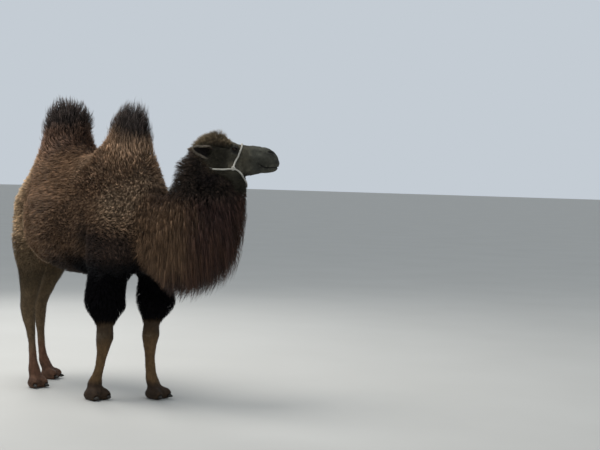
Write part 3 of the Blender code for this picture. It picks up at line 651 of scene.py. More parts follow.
def ear(side):
    bm = bmesh.new()
    bmesh.ops.create_grid(bm, x_segments=24, y_segments=16, size=1)
    for v in bm.verts:
        along, bend = (v.co.x + 1) / 2, v.co.y
        radius, curl, low = (float(value) for value in ear_curve(along))
        flare = 1 + 0.10 * math.sin(3 * math.pi * along) * abs(bend) ** 3
        hollow = low + radius * (1 - math.cos(curl * bend))
        v.co = Vector((along * EAR_LONG, hollow, radius * math.sin(curl * bend) * flare))
    bmesh.ops.transform(bm, matrix=ear_frame(side), verts=bm.verts)
    bmesh.ops.recalc_face_normals(bm, faces=bm.faces)
    middle = ear_frame(side) @ Vector((EAR_LONG / 2, 0.2, 0))
    face = min(bm.faces, key=lambda f: (f.calc_center_median() - middle).length)
    if face.normal.dot(middle - face.calc_center_median()) > 0:
        bmesh.ops.reverse_faces(bm, faces=bm.faces)
    bmesh.ops.solidify(bm, geom=bm.faces, thickness=EAR_WALL)
    bmesh.ops.recalc_face_normals(bm, faces=bm.faces)
    in_order(bm)
    return bm


EARS_FROM = len(skin.data.vertices)
bm = bmesh.new()
bm.from_mesh(skin.data)
for side in (1, -1):
    add_to(bm, ear(side))
bm.to_mesh(skin.data)
bm.free()
form = Surface(skin.data)
print("ears", len(form.points) - EARS_FROM, "points")

# %% [markdown]
# Everything that grows on the skin is placed by the same facts: where a root is, which way the surface
# faces, how far out the coat reaches there, and whether it is on an ear, outside or in the cup.

# %% Facts of the skin
is_ear = np.arange(len(form.points)) >= EARS_FROM
skin_normals = form.normals()
lift = np.concatenate([lift, skin_normals[is_ear] * 0.006])
outer = form.points + lift
in_cup = np.zeros(len(form.points), bool)  # faces into the cup
ear_rim = np.zeros(len(form.points))  # 0 along the ear's middle, 1 at its rim and tip
for side in (1, -1):
    chosen = is_ear & (to_head(form.points)[:, 1] * side > 0)
    inverse = np.array(ear_frame(side).inverted())
    along, out, over_cup = (form.points[chosen] @ inverse[:3, :3].T + inverse[:3, 3]).T
    radius, curl, low = ear_curve(np.clip(along / EAR_LONG, 0, 1))
    bend = np.arctan2(over_cup, radius - (out - low)) / curl
    in_cup[chosen] = (skin_normals[chosen] @ inverse[:3, :3].T)[:, 1] * np.cos(bend) > 0.1
    share = along / EAR_LONG
    rim = np.maximum(ease(np.abs(bend), 0.70, 0.95), ease(share, 0.86, 0.97))
    ear_rim[chosen] = rim * ease(share, 0.10, 0.35)
print(int(in_cup.sum()), "points face into the ears")

# %% [markdown]
# Looks are written as sums. One small class wraps a shader socket, so that the ordinary signs add the
# Math nodes, and one method places any other node.

# %% Shader maths
class Value:
    """A socket whose arithmetic adds Math nodes."""

    def __init__(self, look, socket):
        self.look, self.socket = look, socket


def arithmetic(kind, reflected):
    """The method that joins a socket to another socket or a number by one Math node."""

    def joined(self, other):
        pair = (other, self) if reflected else (self, other)
        return self.look.node("ShaderNodeMath", {"operation": kind}, dict(enumerate(pair)))

    return joined


for sign, kind in (("add", "ADD"), ("sub", "SUBTRACT"), ("mul", "MULTIPLY"), ("pow", "POWER")):
    setattr(Value, f"__{sign}__", arithmetic(kind, False))
    setattr(Value, f"__r{sign}__", arithmetic(kind, True))


class Look:
    """A material under construction."""

    def __init__(self, name, **constants):
        self.material = bpy.data.materials.new(name)
        self.material.use_nodes = True
        self.tree = self.material.node_tree
        self.shader = self.tree.nodes["Principled BSDF"]
        self.set(self.shader, {key.replace("_", " "): value for key, value in constants.items()})

    def set(self, node, values):
        for key, value in values.items():
            socket = node.inputs[key]
            if isinstance(value, Value):
                self.tree.links.new(value.socket, socket)
            elif socket.type == "RGBA" and len(value) == 3:
                socket.default_value = (*value, 1)
            else:
                socket.default_value = value

    def node(self, kind, settings=None, values=None, out=0):
        """Any node: its settings first, then the values or links of its sockets."""
        made = self.tree.nodes.new(kind)
        for key, value in (settings or {}).items():
            setattr(made, key, value)
        self.set(made, values or {})
        return Value(self, made.outputs[out])

    def attribute(self, name, out="Fac"):
        return self.node("ShaderNodeAttribute", {"attribute_name": name}, out=out)

    def place(self):
        return self.node("ShaderNodeTexCoord", out="Object")

    def noise(self, scale, detail=2.0, rough=0.5, vector=None):
        values = {"Vector": vector or self.place(), "Scale": scale, "Detail": detail, "Roughness": rough}
        return self.node("ShaderNodeTexNoise", {}, values, "Fac")

    def wave(self, direction, scale, distortion, detail):
        values = {"Vector": self.place(), "Scale": scale, "Distortion": distortion, "Detail": detail}
        return self.node("ShaderNodeTexWave", {"bands_direction": direction}, values)

    def step(self, value, start, end):
        """0 before start, 1 after end, with a smooth step between. The two may run downwards."""
        values = {"Value": value, "From Min": start, "From Max": end}
        return self.node("ShaderNodeMapRange", {"interpolation_type": "SMOOTHSTEP"}, values)

    def mix(self, a, b, share):
        """Two colours mixed."""
        return self.node("ShaderNodeMix", {"data_type": "RGBA"}, {0: share, 6: a, 7: b}, 2)

    def scaled(self, colour, by):
        """A colour made lighter or darker by a number."""
        return self.node("ShaderNodeVectorMath", {"operation": "SCALE"}, {"Vector": colour, "Scale": by})

    def bump(self, height, strength, distance):
        return self.node("ShaderNodeBump", {}, {"Height": height, "Strength": strength, "Distance": distance})

    def finish(self, **links):
        self.set(self.shader, {key.replace("_", " "): value for key, value in links.items()})
        return self.material


def tone(red, green, blue):
    """A colour as seen on a screen, 0 to 255, in the renderer's linear values."""
    screen = np.array((red, green, blue)) / 255
    return np.where(screen <= 0.04045, screen / 12.92, ((screen + 0.055) / 1.055) ** 2.4)


# %% [markdown]
# The coat's markings are one function of place, used for skin and hair alike. A bactrian bull in winter
# is brown on the flanks and paler where the sun has bleached the humps' sides, the rump and the mane's
# hem, and the upper rump is painted paler still, as light from above. The brushes, the sleeves, the chest
# and the neck's underside are nearly black, the chest partly with painted shade between the forelegs and
# the throat with a painted shadow under the jaw. Shade is also painted under the belly and low on the
# shoulder.

# %% The coat's colours
WOOL = tone(150, 118, 91)
MARKS = {
    # Some colours carry painted light and shade: the rump and the barrel edge are partly lit paler, and the
    # belly, the shoulder, the chest and the throat under the jaw are partly shaded darker.
    "rump": tone(240, 206, 164),
    "barrel edge": tone(214, 188, 156),
    "fore hump": tone(176, 144, 115),
    "rear hump": tone(104, 79, 66),
    "shoulder": tone(66, 52, 46),
    "haunch": tone(132, 112, 84),
    "belly": tone(31, 23, 18),
    "chest": tone(14, 12, 13),
    "thigh": tone(90, 75, 54),
    "sleeve": tone(16, 14, 17),
    "shin": tone(106, 82, 54),
    "knee": tone(58, 46, 33),
    "hind shin": tone(100, 82, 60),
    "red foot": tone(112, 76, 58),
    "foot": tone(50, 37, 27),
    "crown": tone(58, 50, 47),
    "neck": tone(76, 54, 48),
    "mane rear": tone(132, 104, 79),
    "mane low": tone(98, 70, 54),
    "neck top": tone(64, 54, 45),
    "mane hem": tone(44, 30, 26),
    "neck front": tone(76, 54, 42),
    "jaw shadow": tone(34, 26, 26),
    "head": tone(76, 71, 58),
    "muzzle": tone(62, 61, 53),
    "nose": tone(34, 32, 31),
    "eye patch": tone(36, 36, 31),
    "lips": tone(128, 120, 106),
    "topknot": tone(136, 119, 93),
    "eye line": tone(26, 22, 20),
    "ear": tone(84, 71, 58),
    "ear rim": tone(176, 163, 144),
    "ear cup": tone(34, 28, 25),
    "tail": tone(60, 46, 38),
    "callus": tone(150, 134, 112),
}


class Paint:
    """Colours of places on the camel, built up mark by mark."""

    def __init__(self, at):
        self.patch = noise(at.points, 0.16, 21)
        self.fine = noise(at.points, 0.05, 22)
        self.mottle = noise(at.points, 0.017, 24) + 0.6 * noise(at.points, 0.008, 25)
        self.edge = 0.03 * self.patch + 0.015 * self.fine
        self.colour = np.tile(WOOL, (len(at.x), 1))

    def lay(self, name, share):
        self.colour = blend(self.colour, MARKS[name], np.clip(share, 0, 1))

    def ragged(self, at):
        """How far forward and how high the places are, both made uneven, and by how much."""
        return at.x + self.edge, at.z + self.edge, self.edge


# %% [markdown]
# Each mark is laid over the ones before it, with soft shares for where it is, so the order matters as it
# does for a painter. The trunk's marks follow how far forward and how high a place is: pale behind the
# barrel, where painted light from above adds to the paler wool, with a painted highlight along the
# barrel's edge; painted shade low on the shoulder, behind the upper arm, under the belly and between the
# forelegs; bleached on the front hump, nearly black on top.

# %% Mark the trunk and the humps
def mark_trunk(at, paint):
    x, z, lay = at.x, at.z, paint.lay
    rx, rz, edge = paint.ragged(at)
    body = 1 - np.maximum(at.neck, at.head)
    behind = np.interp(z, *BARREL_END) - x + 0.3 * edge
    haunch = ease(behind, 0.0, 0.05)
    # Behind the barrel the wool is paler, and its upper part is painted paler still, as light from above.
    pale = np.maximum(ease(rx, -0.60, -0.85), haunch * ease(z, 1.45, 1.30))
    lay("rump", 0.88 * pale * ease(rz, 1.02, 1.22))
    lay("haunch", 0.85 * haunch * ease(rz, 1.20, 1.02))
    # Painted shade under the belly, over its darker hair; the same dark paints shade in the fold behind the
    # upper arm.
    lay("belly", 0.92 * ease(rz, 1.10, 0.93) * body * (x < 0.4) * ease(behind, 0.04, -0.04))
    lay("belly", 0.35 * ridge(rx - 0.06, 0.12) * ease(z, 1.32, 1.18) * body)
    lay("fore hump", 0.9 * ease(rx, 0.20, 0.34) * ease(rz, 1.16, 1.30) * body)
    lay("shoulder", 0.32 * ease(rx, -0.50, -0.25) * ease(rx, 0.24, 0.12) * ease(rz, 1.52, 1.38) * body)
    # Painted shade low on the shoulder, above the sleeve.
    lay("shoulder", 0.9 * ease(rx, 0.01, 0.10) * ease(rz, 1.33, 1.16) * body)
    lay("barrel edge", 0.30 * ease(rx, 0.18, 0.30) * ease(rz, 1.24, 1.38) * ease(z, 1.75, 1.55) * body)
    front_hump = HUMP_MIDDLES["hump_front"].x
    lay("fore hump", 0.8 * ease(rz, 1.50, 1.70) * ease(np.abs(x - front_hump), 0.34, 0.22) * body)
    lay("rear hump", 0.8 * ease(rz, 1.72, 1.88) * ease(x, -0.15, -0.25) * body)
    lay("crown", 0.92 * ease(at.crown + 8 * edge, 0.10, 0.85))
    before = ease(x + 0.5 * edge, front_hump + 0.05, front_hump + 0.12)
    lay("crown", 0.8 * at.hump * before * ease(z, 1.84, 1.98))
    # Between the forelegs the chest's dark hair is painted darker, as shade in the recess there.
    between = ease(np.abs(at.side), 0.30, 0.20)
    lay("chest", ease(rz, 1.06, 0.96) * between * ease(x, 0.10, 0.18) * body)
    lay("thigh", 0.9 * at.thigh * ease(rz, 1.02, 0.86))
    # A painted highlight along the crest of the fold at the barrel's rear edge.
    crest = ridge(behind + 0.008, 0.020) * ease(z, 0.86, 0.92) * ease(z, 1.44, 1.30)
    lay("barrel edge", 0.75 * crest * ease(np.abs(at.side), 0.10, 0.20) * body)
    lay("tail", at.tail * ease(z, 1.45, 1.25))


# %% [markdown]
# The long sleeves are nearly black. Below them the shins are brown and darker over the knee, the hind
# feet are reddish, and grey calluses show at knee and hock, where a camel rests when it lies down.

# %% Mark the legs
def mark_legs(at, paint):
    x, z, lay = at.x, at.z, paint.lay
    rx, rz, edge = paint.ragged(at)
    body, fine = 1 - np.maximum(at.neck, at.head), paint.fine
    lay("hind shin", at.gaskin * ease(rz, 0.78, 0.50))
    lay("red foot", 0.8 * at.gaskin * ease(rz, 0.42, 0.20))
    lay("sleeve", ease(rx, -0.24, -0.10) * (x < 0.50) * ease(rz, 1.08, 0.95) * body)
    lay("shin", at.shin)
    lay("knee", 0.85 * at.shin * ease(z + 2 * edge, 0.32, 0.50))
    lay("foot", at.foot * ease(z + 1.5 * edge, 0.18, 0.08) * np.where(x > -0.3, 0.9, 0.45))
    knee = ease(np.abs(z - 0.47 + 0.4 * edge), 0.034, 0.016) * ease(np.abs(at.normals[:, 1]), 0.4, 0.9)
    lay("callus", 0.30 * knee * at.shin * ease(fine, -0.4, 0.7))
    hock = ease(np.abs(z - 0.60 + 0.4 * edge), 0.040, 0.020) * ease(-at.normals[:, 0], 0.5, 0.9)
    lay("callus", 0.30 * hock * at.gaskin * ease(fine, -0.4, 0.7))


# %% [markdown]
# The mane is dark towards the throat and browner towards the shoulder. Its strands hang, so the noise that
# breaks up these marks is stretched along the vertical and gives streaks in place of patches.

# %% Mark the mane
def mark_mane(at, paint):
    x, z, lay = at.x, at.z, paint.lay
    _, rz, edge = paint.ragged(at)
    streak = noise(at.points * np.array((1, 1, 0.12)), 0.022, 23)
    front = dot(at.points[:, :2] - HEAD_AT[:2], HEAD_TURN[:2, 0])
    lay("neck", at.neck * ease(x, NECK_FROM + 0.04, NECK_FROM + 0.14))
    lay("neck top", 0.85 * at.neck * ease(rz, 1.38, 1.58))
    lay("mane low", 0.8 * at.neck * ease(z + 2 * edge, 1.30, 1.00) * ease(streak, -0.7, 0.5))
    rear = ease(front + 2 * edge + 0.04 * streak, 0.04, -0.20) * ease(rz, 1.56, 1.36)
    lay("mane rear", 0.9 * at.neck * rear * ease(z + 2 * edge, 0.76, 0.96))
    hem = ease(rz - 0.35 * np.maximum(front, 0), 0.94, 0.78)
    lay("mane hem", 0.85 * at.neck * hem * ease(streak, 0.45, -0.35))
    lay("neck front", 0.7 * at.neck * ease(front + edge, 0.20, 0.32))


# %% [markdown]
# The head is grey-brown, greyer on the muzzle and darkest round the eyes, with painted shade inside the
# nostrils and along the mouth, and a painted shadow under the jaw. Worn, paler skin shows in specks on the
# lips, and the topknot is the lightest hair there.

# %% Mark the head
def mark_head(at, paint):
    u, w, lay, mottle = at.u, at.w, paint.lay, paint.mottle
    lay("head", at.head)
    # A painted shadow under the jaw, on the upper throat.
    lay("jaw shadow", 0.85 * oval(u - 0.04, w + 0.175, 0.13, 0.085) * np.maximum(at.head, at.neck))
    lay("muzzle", at.head * ease(u + 0.02 * paint.fine, 0.30, 0.40))
    lay("eye patch", 0.9 * at.head * oval(u - 0.235, w - 0.022, 0.058, 0.050))
    lay("eye patch", 0.7 * at.head * oval(u - 0.245, w + 0.045, 0.050, 0.040))
    # Painted shade inside the nostrils; the upper lip takes the same dark.
    nostril = oval(u - 0.503, w - 0.022, 0.048, 0.022)
    upper_lip = oval(u - 0.550, w + 0.040, 0.030, 0.034)
    lay("nose", 0.85 * at.head * np.maximum(nostril, 0.8 * upper_lip))
    off_mouth = w - np.interp(u, *MOUTH)
    lips = ridge(off_mouth, 0.026) * ease(u, 0.40, 0.44) * ease(u, 0.53, 0.50)
    lay("lips", 0.7 * at.head * lips * ease(mottle, -0.1, 1.0))
    lay("topknot", at.topknot)
    lay("eye line", 0.9 * at.face * oval(u - EYE_FORWARD - 0.004, w - EYE_ABOVE + 0.002, 0.045, 0.045))
    # Painted shade along the groove where the lips part.
    lay("eye line", 0.8 * at.head * ridge(off_mouth, 0.0050) * ease(u, 0.405, 0.43))


def markings(at):
    """The colour of skin and hair at these places."""
    paint = Paint(at)
    for mark in (mark_trunk, mark_legs, mark_mane, mark_head):
        mark(at, paint)
    bare = np.maximum(at.face, np.maximum(at.shin, at.gaskin))
    blotch = paint.mottle + 1.2 * at.face * noise(at.points, 0.045, 26)
    uneven = (1 + 0.10 * paint.patch + 0.08 * paint.fine) * np.exp(0.30 * bare * blotch)
    return paint.colour * uneven[:, None]


# %% [markdown]
# The skin's own finish carries the markings as an attribute. Under wool it is darker, as it lies in
# shadow; on the face and shins it is the coat's ground, with short hair as a fine directed bump.

# %% The skin's finish
def put(mesh, name, values, kind="FLOAT"):
    """An attribute of the mesh's points: one number each, or a colour."""
    made = mesh.attributes.new(name, kind, "POINT")
    word = "value"
    if kind == "FLOAT_COLOR":
        word = "color"
        values = np.concatenate([values, np.ones((len(values), 1))], 1)
    made.data.foreach_set(word, np.ascontiguousarray(values, np.float32).ravel())


colour = markings(Places(outer, skin_normals))
colour[is_ear] = MARKS["ear"] * 0.9
colour[in_cup] = MARKS["ear cup"]
colour = blend(colour, MARKS["ear rim"] * 0.6, 0.8 * ear_rim)
reach = np.linalg.norm(lift, axis=1)
colour *= (1 - 0.55 * ease(reach, 0.008, 0.03))[:, None]
put(skin.data, "coat", colour, "FLOAT_COLOR")
skin.data.shade_smooth()
print(len(MARKS), "markings laid over the wool's brown")


def skin_look():
    look = Look("skin", Roughness=0.75, Specular_IOR_Level=0.25)
    place = look.place()
    turn = (0, 0, -math.atan2(ahead.y, ahead.x))
    along = look.node("ShaderNodeMapping", {}, {"Vector": place, "Rotation": turn, "Scale": (1.0, 3.0, 3.0)})
    hair = look.noise(260, 2, 0.6, along)
    pores = look.noise(420, 2, 0.7, place)
    mottle = look.noise(38, 3, 0.6, place)
    patches = look.noise(14, 3, 0.6, place)
    shade = 0.30 + 0.55 * hair + 0.40 * mottle + 0.45 * patches
    colour = look.scaled(look.attribute("coat", "Color"), shade)
    bump = look.bump(0.7 * hair + 0.3 * pores, 0.85, 0.0025)
    return look.finish(Base_Color=colour, Normal=bump, Roughness=0.62 + 0.25 * mottle)


skin.data.materials.clear()
skin.data.materials.append(skin_look())
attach(skin, "root")
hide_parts(*FLESH, "ear_left", "ear_right")

# %% [markdown]
# Wool doesn't stand up like grass: it leans over and lies along the body, down and back on the flanks,
# straight down on the neck and legs, back from the nose on the face, and up only on the humps. This
# function gives that direction, turned a little by noise so that it swirls as real wool does.

# %% The lie of the coat
def lie(at, swirl, seed):
    """Unit vectors along the surface, the way the hair lies."""
    way = np.tile((-0.55, 0.0, -0.85), (len(at.x), 1))
    forward = HEAD_TURN[:, 0]
    out = np.stack([at.normals[:, 0], at.normals[:, 1], 0.2 + 0 * at.x], 1)
    for share, vector in (
        (at.belly, (-1.0, 0.0, -0.1)),
        (ease(at.x, -0.75, -0.95), (0.0, 0.0, -1.0)),
        (at.hump * ease(at.z, 1.74, 1.86), (-0.5, 0.0, 0.35)),
        (at.hump * ease(at.z, 1.86, 1.98), (-0.2, 0.0, 1.0)),
        (at.neck, (-0.10, 0.0, -1.0)),
        (at.head, tuple(-0.75 * forward + np.array((0, 0, -0.65)))),
        (at.face, tuple(-1.0 * forward + np.array((0, 0, -0.12)))),
        (at.topknot * ease(at.u, 0.16, 0.02), tuple(-0.8 * forward + np.array((0, 0, 0.10)))),
        (at.topknot * ease(at.u, 0.06, 0.17), tuple(0.25 * forward + np.array((0, 0, 1.0)))),
        (np.maximum(at.sleeve, np.maximum(at.shin, at.thigh)), (-0.12, 0.0, -1.0)),
        (at.tail, (0.0, 0.0, -1.0)),
    ):
        way = blend(way, np.array(vector), share)
    way -= at.normals * dot(way, at.normals)[:, None]
    way = unit(way + 1e-4 * np.array((1.0, 0.3, 0.2)))
    angle = swirl * (noise(at.points, 0.13, seed) + 0.6 * noise(at.points, 0.05, seed + 1))
    return way * np.cos(angle)[:, None] + np.cross(at.normals, way) * np.sin(angle)[:, None]


# %% [markdown]
# The halter is soft cotton rope of three twisted strands, tied at each cheek. Its solid parts already lie
# along the real route, so each rope's middle line is read back from them: the short edges of the tube join
# the corners of one ring, and the rings in order give the line. The line is then lifted clear of the
# sculpted skin. Behind the ear the strap runs under the hair, as it does on a halter that is worn for weeks.

# %% Read the route of each rope
ROPE = 0.0062  # radius


def tree_of(points):
    """A tree of the surface without the ears, for finding the nearest place on it."""
    faces = form.triangles[~is_ear[form.triangles[:, 0]]]
    return BVHTree.FromPolygons([Vector(p) for p in points], faces.tolist())


SKIN_TREE = tree_of(form.points)


def off_skin(point, height):
    """The point moved along the skin's normal to this height, which may depend on its present height."""
    place, normal, _, _ = SKIN_TREE.find_nearest(Vector(point))
    present = (Vector(point) - place).dot(normal)
    return Vector(point) + normal * (height(present) - present)


KNOTS = {}
for word in ("right", "left"):
    KNOTS[word] = off_skin(middle_of("knot_" + word), lambda high: min(high, 0.012))


def centreline(node):
    """The middle of a bent tube, from one cheek's knot to the other's."""
    bm = merged_copy(node)
    rings, seen = [], set()
    for start in bm.verts:
        ring, waiting = [], [start]
        while waiting:
            v = waiting.pop()
            if v in seen:
                continue
            seen.add(v)
            ring.append(v.co)
            waiting += [e.other_vert(v) for e in v.link_edges if e.calc_length() < 1.25 * ROPE]
        if len(ring) >= 5:
            rings.append(sum(ring, Vector()) / len(ring))
    bm.free()
    line = [KNOTS["right"]]
    while rings:
        line.append(min(rings, key=lambda spot: (spot - line[-1]).length))
        rings.remove(line[-1])
    return np.array([*line, KNOTS["left"]])


def rounded(line, steps=5):
    """A smooth curve through the points of a line."""
    ends = np.concatenate([2 * line[:1] - line[1:2], line, 2 * line[-1:] - line[-2:-1]])
    a, b, c, d = ends[:-3], ends[1:-2], ends[2:-1], ends[3:]
    rows = []
    for t in np.arange(steps) / steps:
        bent = (2 * a - 5 * b + 4 * c - d) * t**2 + (3 * b - a - 3 * c + d) * t**3
        rows.append(0.5 * (2 * b + (c - a) * t + bent))
    return np.concatenate([np.stack(rows, 1).reshape(-1, 3), line[-1:]])


RESTING = 0.95 * ROPE, 2.2 * ROPE  # the least and the most height of the rope's middle above the skin
SUNK = -0.9 * ROPE  # its height where it is hidden


def clear_of_skin(line, hidden):
    """Lifts a line off the skin by the rope's radius, and sinks its hidden stretch under the hair."""
    line = line.copy()
    for i, point in enumerate(line[1:-1], 1):
        sunk = hidden[i]
        line[i] = off_skin(point, lambda high: blend(np.clip(high, *RESTING), SUNK, sunk))
    return line


def resampled(line, step):
    """Points at even steps along a line."""
    far = np.concatenate([[0], np.cumsum(np.linalg.norm(np.diff(line, axis=0), axis=1))])
    count = max(int(far[-1] / step), 4)
    places = np.linspace(0, far[-1], count)
    return np.stack([np.interp(places, far, line[:, k]) for k in range(3)], 1)


ROUTES = {}
shown = []
for node in ("halter_nose", "halter_chin", "halter_poll"):
    line = rounded(centreline(node))
    hidden = ease(to_head(line)[:, 0], 0.075, 0.020) * (node == "halter_poll")
    for _ in range(2):
        line = clear_of_skin(line, hidden)
        line[1:-1] = (line[:-2] + 2 * line[1:-1] + line[2:]) / 4
    ROUTES[node] = clear_of_skin(line, hidden)
    shown.extend(ROUTES[node][hidden < 0.5] if hidden.any() else resampled(ROUTES[node], 0.006))
ROPE_TREE = KDTree(len(shown))
for i, point in enumerate(shown):
    ROPE_TREE.insert(Vector(point), i)
ROPE_TREE.balance()
print("ropes", {node: len(line) for node, line in ROUTES.items()})

# %% [markdown]
# A tuft is a closed three-sided lock that narrows to a point. Its spine rises from the root to the top of
# the coat and then bends over along the lie, drawn towards its clump's middle, with a little curl. Tens of
# thousands of them are worked out together as arrays and become one mesh. Each lock's corners are placed
# in the OFBake map as a small patch where its root is on the unrolled skin.

# %% Sample roots
corners = form.points[form.triangles]
AREA = np.linalg.norm(np.cross(corners[:, 1] - corners[:, 0], corners[:, 2] - corners[:, 0]), axis=1) / 2
OUTSIDE = tree_of(outer)
PATCH = 0.003  # the side of a lock's patch in the map
PRESSED = 0.008  # how high above the skin the hair beside a rope reaches
GROWN = {}


print("skin of", round(float(AREA.sum()), 2), "square metres")


def roots(chance, spacing, rng):
    """Even, repeatable roots on the skin: the triangle of each, and its weights at the three corners."""
    total = np.cumsum(AREA * np.clip(chance, 0, 1)) / spacing**2
    count = int(total[-1])
    face = np.searchsorted(total, (np.arange(count) + rng.random(count)) * total[-1] / count)
    a, b = np.sort(rng.random((2, count)), axis=0)
    return np.minimum(face, len(AREA) - 1), np.stack([a, b - a, 1 - b], 1)


def held_in(spine, proud, high, on_head):
    """Bends the locks whose tips would stand out of the coat's outline by more than proud."""
    share = np.linspace(0, 1, spine.shape[1])[:, None]
    for i, tip in enumerate(spine[:, -1]):
        if on_head[i]:
            beside = float(ease(ROPE_TREE.find(Vector(tip))[2], 0.026, 0.013))
            proud[i] += (min(PRESSED - high[i], 0) - proud[i]) * beside
        for _ in range(2):
            place, normal, _, _ = OUTSIDE.find_nearest(Vector(spine[i, -1]))
            excess = (Vector(spine[i, -1]) - place).dot(normal) - proud[i]
            if excess <= 0:
                break
            spine[i] -= share**1.2 * np.array(normal) * excess
    return spine


def over(face, weight, values):
    """A value of the skin's points, at places inside its triangles."""
    return np.einsum("ij...,ij->i...", values[form.triangles[face]], weight)


# %% Build locks
def lock_faces(rows):
    """The triangles of one lock: its root, its sides and its tip."""
    faces = [(2, 1, 0)]
    for row in range(rows - 1):
        for k in range(3):
            a, b = 3 * row + k, 3 * row + (k + 1) % 3
            faces += [(a, b, b + 3), (a, b + 3, a + 3)]
    return np.array(faces + [(3 * rows - 3 + k, 3 * rows - 3 + (k + 1) % 3, 3 * rows) for k in range(3)])


def unroll(points, axis):
    """The share of a turn about the axis, and of the way along it."""
    start, end = np.array(axis[0], float), np.array(axis[1], float)
    along = unit(end - start)
    across = unit(np.cross(along, (0.3, 0.5, 0.81)))
    rest = points - start
    turn = np.arctan2(rest @ np.cross(along, across), rest @ across) / (2 * math.pi) + 0.5
    far = rest @ along
    return np.stack([turn, (far - far.min()) / max(np.ptp(far), 1e-6)], 1)


def lock_mesh(name, spine, side, up, width, thickness, colour, uv):
    """One mesh of closed locks. The spine has a row of points for each ring and one for the tip."""
    count, rows = spine.shape[0], spine.shape[1] - 1
    profile = np.interp(np.arange(rows) / rows, (0, 0.35, 0.7, 1), (0.75, 1.0, 0.72, 0.1))
    corners = []
    for angle in (math.pi / 2, math.pi * 7 / 6, math.pi * 11 / 6):
        spread = side * (math.cos(angle) * width)[:, None] + up * (math.sin(angle) * thickness)[:, None]
        corners.append(spine[:, :rows] + spread[:, None] * profile[None, :, None])
    rings = np.stack(corners, 2).reshape(count, rows * 3, 3)
    points = np.concatenate([rings, spine[:, rows:]], 1)
    each = rows * 3 + 1
    faces = (lock_faces(rows)[None] + (np.arange(count) * each)[:, None, None]).reshape(-1, 3)
    mesh = bpy.data.meshes.new(name)
    mesh.vertices.add(count * each)
    mesh.vertices.foreach_set("co", points.astype(np.float32).ravel())
    mesh.loops.add(len(faces) * 3)
    mesh.loops.foreach_set("vertex_index", faces.astype(np.int32).ravel())
    mesh.polygons.add(len(faces))
    mesh.polygons.foreach_set("loop_start", np.arange(0, len(faces) * 3, 3, dtype=np.int32))
    mesh.update(calc_edges=True)
    mesh.shade_smooth()
    step = np.arange(each)
    along = np.minimum(step // 3, rows) / rows
    # Each lock is painted darker at its root, as shade deep in the coat, and lighter towards its tip.
    shade = 0.36 + 0.78 * along**0.8
    put(mesh, "coat", (colour[:, None] * shade[None, :, None]).reshape(-1, 3), "FLOAT_COLOR")
    patch = np.stack([(step % 3) / 2 - 0.5, along - 0.5], 1) * PATCH
    uv = np.clip((uv[:, None] * (1 - 2 * PATCH) + PATCH + patch[None]).reshape(-1, 2), 0, 1)
    layer = mesh.uv_layers.new(name="OFBake")
    layer.data.foreach_set("uv", uv[faces.ravel()].astype(np.float32).ravel())
    return mesh


# %% [markdown]
# One function grows every piece of coat, from the trunk's wool to the ears' fringe, because they differ
# only in numbers: how far apart the roots are, how long and wide the locks are, how they clump, curl and
# fray, and how far they may stand out of the coat. Particle hair could be combed by hand instead, but it
# would have to be turned into solid tufts anyway.

# %% Bend the locks' spines
def spines(at, root, reaches, rng, seed, reach, rows, clump, pull, curl, swirl, rise, fray):
    """Lines out from the skin, along the lie and towards a clump, with what is needed to finish them."""
    count, normal = len(root), at.normals
    way = lie(at, swirl, seed + 50)
    jitter = fray * rng.standard_normal((count, 3))
    way = unit(way + jitter - normal * dot(jitter, normal)[:, None])
    high = np.maximum(dot(reaches, normal), 0.002)
    drift = reaches - normal * dot(reaches, normal)[:, None]
    centre, own, off_centre = clumps(at.points, clump, seed + 70)
    draw = centre - at.points
    draw -= normal * dot(draw, normal)[:, None]
    rise = rng.uniform(*rise, count) * (0.90 + 0.20 * own)
    reach = (reach(at) if callable(reach) else reach) * rng.uniform(0.75, 1.2, count)
    side = unit(np.cross(normal, way))
    phase = rng.random(count) * 2 * math.pi
    spine = np.empty((count, rows + 1, 3))
    for k in range(rows + 1):
        t = k / rows
        lean = t**1.35
        twist = (phase + 5.0 * t)[:, None]
        out = high * rise * math.sin(min(t * 1.25, 1) * math.pi / 2) - 0.003 * (1 - t)
        curled = (side * np.sin(twist) + normal * 0.5 * np.cos(twist)) * (curl * t)
        spine[:, k] = root + normal * out[:, None] + (drift + way * reach[:, None]) * lean
        spine[:, k] += draw * pull * lean + curled
    return spine, high, jitter, own, off_centre


def lock_colours(at, face, weight):
    """The coat's markings, and the ears' own colours, which depend on which way the ear faces."""
    on_ear = is_ear[form.triangles[face, 0]]
    cup = in_cup[form.triangles[face]].all(1)[:, None]
    ear = np.where(cup, MARKS["ear cup"] * 1.6, MARKS["ear"])
    colour = np.where(on_ear[:, None], ear, markings(at))
    return blend(colour, MARKS["ear rim"], 0.85 * over(face, weight, ear_rim) * on_ear)


